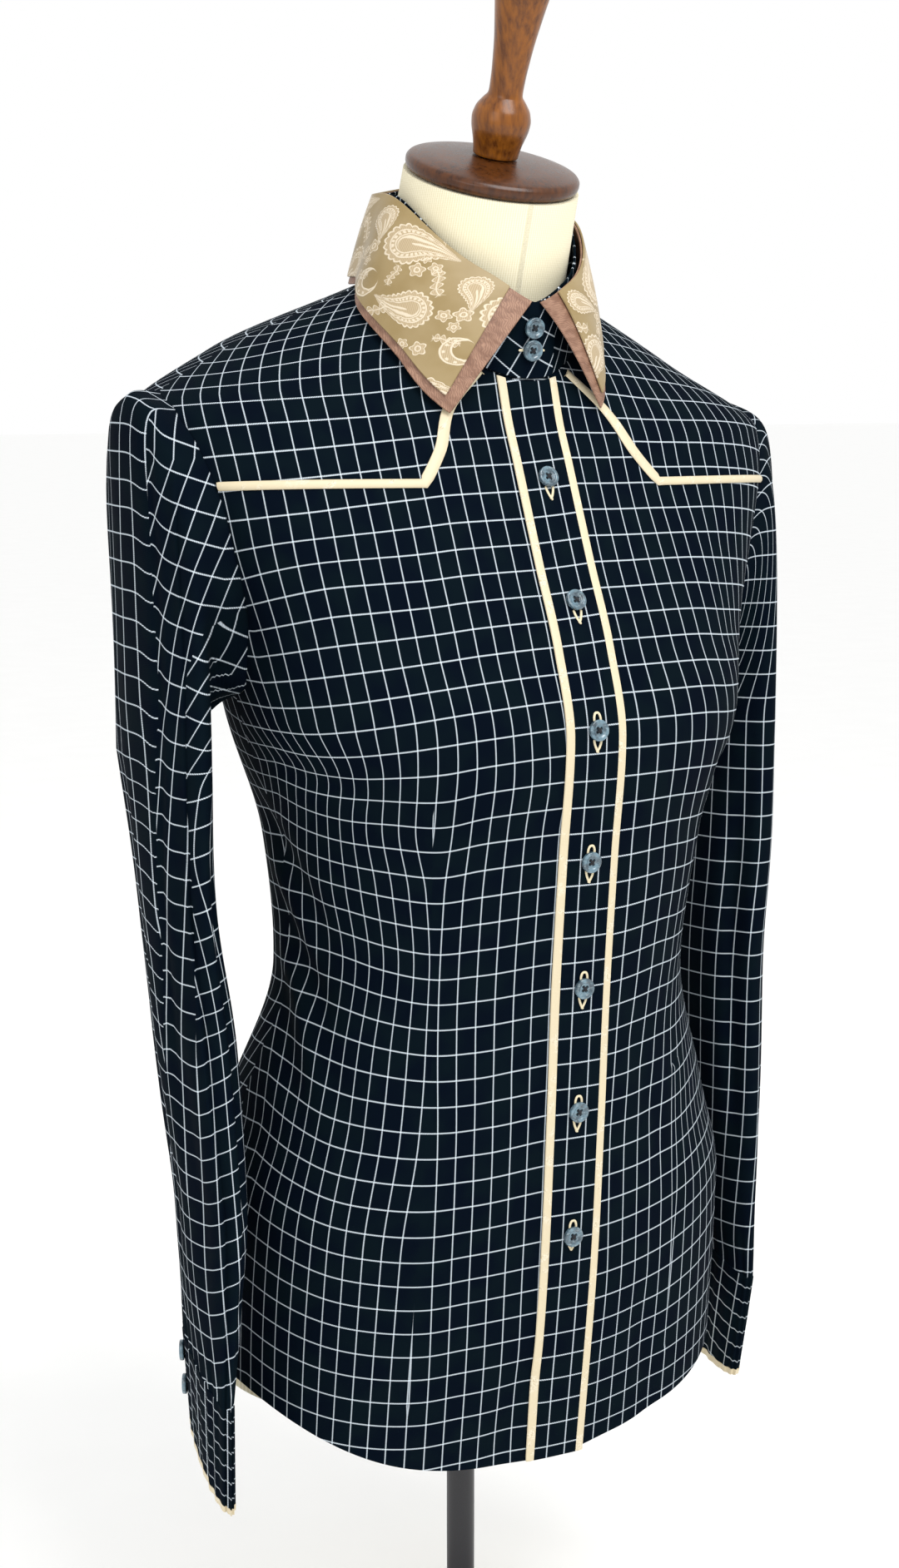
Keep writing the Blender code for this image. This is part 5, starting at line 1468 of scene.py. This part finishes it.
# sleeves and cuffs
for side, label in SIDES:
    mirror = (side, 1, 1)
    outer, inner = sleeve_grid(side)
    across, along = ring_arcs(outer, CAP_RINGS)
    fields = (plain_weave(across / CELL_WIDE, along / CELL_TALL) if side > 0
              else right_sleeve_weave(outer * mirror, across, along))
    shell(f"sleeve_{label}", f"cloth_sleeve_{label}", outer * mirror, inner * mirror, CHECK, fields, True)
    low = 2 * SEAM + CUFF_HEIGHT
    for node, name, drops, out, finish in (
            ("cuff", "cloth_cuff", np.linspace(SEAM, SEAM + CUFF_HEIGHT, CUFF_ROWS), CUFF_OUT, CHECK),
            ("cuff_piping", "trim_cuff", np.linspace(low, low + CUFF_PIPING, 5), CUFF_PIPING_OUT, TRIM)):
        outer, inner = (cuff_rings(side, drops, out - wall) for wall in (0, CUFF_WALL))
        across, along = ring_arcs(outer)
        fields = (plain_weave(along / CELL_WIDE + 0.4, across / CELL_TALL) if node == "cuff"
                  else lay(along, across))
        shell(f"{node}_{label}", f"{name}_{label}", outer * mirror, inner * mirror, finish, fields, True)


# ------------------------------------------------------------------ buttons

def frame_of(normal):
    """Directions aside and up on a face with this normal, and the normal itself."""
    normal = unit(np.array(normal, float))
    aside = unit(np.cross((0, 0, 1), normal))
    return aside, np.cross(normal, aside), normal


def set_on(points, centre, frame):
    return centre + points @ np.array(frame)


def tube(points, half_wide, half_high, lifts, sides=10):
    """A bent cord of oval section with rounded ends; lifts are its upward directions."""
    points, lifts = np.asarray(points, float), np.asarray(lifts, float)
    ahead = unit(np.gradient(points, axis=0))
    across = unit(np.cross(ahead, lifts))
    lifts = np.cross(across, ahead)
    turn = np.linspace(0, 2 * math.pi, sides, endpoint=False)[None, :, None]
    place = np.arange(len(points))
    shrink = np.minimum(1, np.sqrt(np.minimum(place, place[::-1]) + 0.15))[:, None, None]
    return closed_rings(points[:, None] + across[:, None] * half_wide * np.cos(turn) * shrink
                        + lifts[:, None] * half_high * np.sin(turn) * shrink)


def cords(name, parts, finish):
    """Some tubes as one object."""
    vertices, faces, total = [], [], 0
    for points, more in parts:
        vertices.append(points)
        faces += [[k + total for k in face] for face in more]
        total += len(points)
    new_object(None, name, np.concatenate(vertices), faces, finish)


def hole_ways(k):
    """Shares aside and up of the way from a button's middle to one of its holes."""
    turn = math.radians(45 + 90 * k + BUTTON_TURN)
    return math.sin(turn), math.cos(turn)


def button_top(radius, angle):
    """Height of a button's face: a raised rim, a dish and four sewing holes."""
    rim_at, dish_at = BUTTON_RADIUS - BUTTON_EDGE - BUTTON_RIM, BUTTON_RADIUS - BUTTON_EDGE - BUTTON_SLOPE
    height = BUTTON_THICK - BUTTON_DISH * smooth_step(rim_at - radius, 0, rim_at - dish_at)
    height = height - BUTTON_HOLLOW * smooth_step(dish_at - radius, 0, dish_at)
    for k in range(4):
        aside, up = hole_ways(k)
        away = np.hypot(radius * np.sin(angle) - HOLE_AT * aside, radius * np.cos(angle) - HOLE_AT * up)
        height = height - HOLE_DEEP * (1 - smooth_step(away / HOLE_RADIUS, *HOLE_SLOPE))
    return height


def button(node, centre, normal):
    """A pearl button with its holes, and the crossed dark thread that holds it."""
    angle = np.linspace(0, 2 * math.pi, BUTTON_FINE, endpoint=False)
    edge = BUTTON_RADIUS - BUTTON_EDGE
    rings = [(edge - 0.2, 0.0)]
    for middle, turns in ((BUTTON_EDGE, (-90, -60, -30, 0)), (BUTTON_THICK - BUTTON_EDGE, (0, 30, 60, 90))):
        rings += [(edge + BUTTON_EDGE * math.cos(turn), middle + BUTTON_EDGE * math.sin(turn))
                  for turn in np.radians(turns)]
    rings += [(radius, button_top(radius, angle)) for radius in np.linspace(edge - 0.25, 0.12, 24)]
    outline = np.stack([stacked(radius * np.sin(angle), radius * np.cos(angle), z) for radius, z in rings])
    frame = frame_of(normal)
    new_object(node, f"pearl_{node}", *closed_rings(set_on(outline, centre, frame)), PEARL)
    strands = []
    along = np.linspace(-1, 1, 13)
    for k in (0, 1):
        aside, up = hole_ways(k)
        height = (BUTTON_THICK - BUTTON_DISH - BUTTON_HOLLOW + (0.62 + 0.3 * k) * (1 - along ** 4)
                  - 0.75 * along ** 8)
        for shift in (-THREAD_APART, THREAD_APART):
            path = stacked(along * HOLE_AT * aside + shift * up, along * HOLE_AT * up - shift * aside, height)
            strands.append(tube(set_on(path, centre, frame), THREAD_HALF, THREAD_HALF,
                                np.broadcast_to(frame[2], path.shape)))
    cords(f"stitch_{node}", strands, THREAD)


def face_normal(low, high):
    """Normal of a face that looks forward, from two points up its middle."""
    return np.cross((1, 0, 0), high - low)


def rounded(points, steps=6):
    """A smooth line through a few points."""
    points = np.array(points, float)
    padded = np.concatenate([[2 * points[0] - points[1]], points, [2 * points[-1] - points[-2]]])
    t = np.linspace(0, 1, steps, endpoint=False)[:, None]
    spans = [0.5 * (2 * b + (c - a) * t + (2 * a - 5 * b + 4 * c - d) * t ** 2
                    + (3 * b - a - 3 * c + d) * t ** 3)
             for a, b, c, d in zip(padded, padded[1:], padded[2:], padded[3:])]
    return np.concatenate([*spans, points[-1:]])


def buttonhole(number, level):
    """Cream binding of a slanted buttonhole, seen as a V below the button and a loop above."""
    shorter = 1.0 if number < len(BUTTON_LEVELS) else HOLE_LAST_SHORTER
    strands = [[(x, rise * shorter) for x, rise in strand] for strand in HOLE_BELOW]
    strands += [HOLE_ABOVE] if number >= HOLE_ABOVE_FROM else []
    parts = []
    for k, strand in enumerate(strands):
        low, path, high = ([torso(angle_at(x, level + rise + up), level + rise + up, out)
                            for x, rise in rounded(strand)]
                           for up, out in ((-2, 0.0), (0, LAY_TOP + 0.15 + 0.3 * k), (2, 0.0)))
        parts.append(tube(path, BINDING_HALF, 0.5, face_normal(np.array(low), np.array(high))))
    cords(f"buttonhole_{number}", parts, BINDING)


for number, level in enumerate(BUTTON_LEVELS, 1):
    low, high = torso(0, level - 3, LAY_TOP), torso(0, level + 3, LAY_TOP)
    normal = unit(face_normal(low, high))
    button(f"button_{number}", (low + high) / 2 + normal * BUTTON_SEAT, normal)
    buttonhole(number, level)

normal = unit(face_normal(stand_point(0, 0.0, STAND_STEP), stand_point(0, 1.0, STAND_STEP)))
aside, _, face = frame_of(normal)
for number, height in enumerate(STAND_BUTTON_HEIGHTS, 1):
    seat = stand_point(0, height / STAND.rows[0][1], STAND_STEP + BUTTON_SEAT)
    button(f"stand_button_{number}", seat, normal)
    if number == 1:
        parts = []
        for end in (-1, 1):
            under, reach = STAND_BINDING
            start = seat - face * (BUTTON_SEAT - 0.3) + aside * end * (BUTTON_RADIUS - under)
            path = start + aside * end * np.linspace(0, reach, 6)[:, None]
            parts.append(tube(path, BINDING_HALF, 0.4, np.broadcast_to(face, path.shape)))
        cords("buttonhole_stand", parts, BINDING)

place = int(np.argmin(np.abs(ARM_ROUND - CUFF_BUTTON_ROUND)))
for side, label in SIDES:
    for number, drop in enumerate(CUFF_BUTTON_DROPS, 1):
        rings = cuff_rings(side, (drop - 1, drop + 1), CUFF_OUT)
        left, right = (rings[:, place + beside] for beside in CUFF_BUTTON_COLUMNS)
        middle = (left.mean(axis=0) + right.mean(axis=0)) / 2
        normal = unit(np.cross(right[0] - left[0], left[1] - left[0]))
        if np.dot(normal, middle - rings.mean(axis=(0, 1))) < 0:
            normal = -normal
        button(f"cuff_button_{label}_{number}",
               (middle + normal * BUTTON_SEAT) * (side, 1, 1), normal * (side, 1, 1))


# ------------------------------------------------------------------ form and stand

angles = np.linspace(0, 360, ROUND_SIDES, endpoint=False)
turn = np.radians(angles)
rings = [torso(angles, float(level), -(WALL + FORM_EASE.read("ease", level)))
         for level in np.linspace(*FORM_SPAN, 60)]
rings[0][:, 2] = FORM_SPAN[0]
for up in np.linspace(NECK_ROUND.rows[0][0], NECK_ROUND.rows[-1][0], 24):
    radius = NECK_ROUND.read("radius", up)
    rings.append(lean(stacked(radius * np.sin(turn), -radius * np.cos(turn), up - SEAM)))
rings = np.stack(rings)
fields = lay(turn * FORM_RADIUS, rings[..., 2])["lay"].reshape(-1, 3)
new_object("form_torso", "dress_form", *closed_rings(rings), JERSEY, {"lay": fields})
top = FORM_SPAN[0] - SEAM
pole = ((0, POLE_FOOT), (POLE_RADIUS, POLE_FOOT), (POLE_RADIUS, top), (0, top))
turned("form_cap", "form_cap_disc", CAP_PROFILE, DARK_WOOD, lean)
turned("form_finial", "form_finial_knob", FINIAL_PROFILE, GOLDEN_WOOD, lean)
turned("stand_base", "base_disc", BASE_PROFILE, DARK_WOOD)
turned("stand_pole", "pole_rod", pole, METAL, sides=ROUND_SIDES // 2)


# ------------------------------------------------------------------ floor, light, camera

def staged(name, data):
    item = bpy.data.objects.new(name, data)
    bpy.context.collection.objects.link(item)
    return item


mesh = bpy.data.meshes.new("floor")
mesh.from_pydata([(-30, -30, 0), (30, -30, 0), (30, 30, 0), (-30, 30, 0)], [], [(0, 1, 2, 3)])
mesh.materials.append(floor_look())
staged("floor", mesh)

world = bpy.data.worlds.new("studio")
world.use_nodes = True
world.node_tree.nodes["Background"].inputs["Color"].default_value = (1, 1, 1, 1)
world.node_tree.nodes["Background"].inputs["Strength"].default_value = 1.0
bpy.context.scene.world = world
bpy.context.scene.view_settings.view_transform = "Standard"

for name, place, aim, size, power in (("key", (0.1, -1.5, 2.3), (0, 0, 0.75), 1.3, 36),
                                      ("fill", (-1.8, -1.4, 1.6), (0, 0, 0.6), 1.2, 8)):
    light = bpy.data.lights.new(name, "AREA")
    light.size, light.energy = size, power
    item = staged(name, light)
    item.location = place
    item.rotation_euler = (Vector(aim) - Vector(place)).to_track_quat("-Z", "Y").to_euler()

camera = staged("camera", bpy.data.cameras.new("camera"))
camera.location = CAMERA_AT
camera.rotation_euler = Vector(CAMERA_AIM).to_track_quat("-Z", "Y").to_euler()
camera.data.sensor_fit = "VERTICAL"
camera.data.sensor_height = SENSOR
camera.data.lens = SENSOR * FOCAL_SHARE
bpy.context.scene.camera = camera
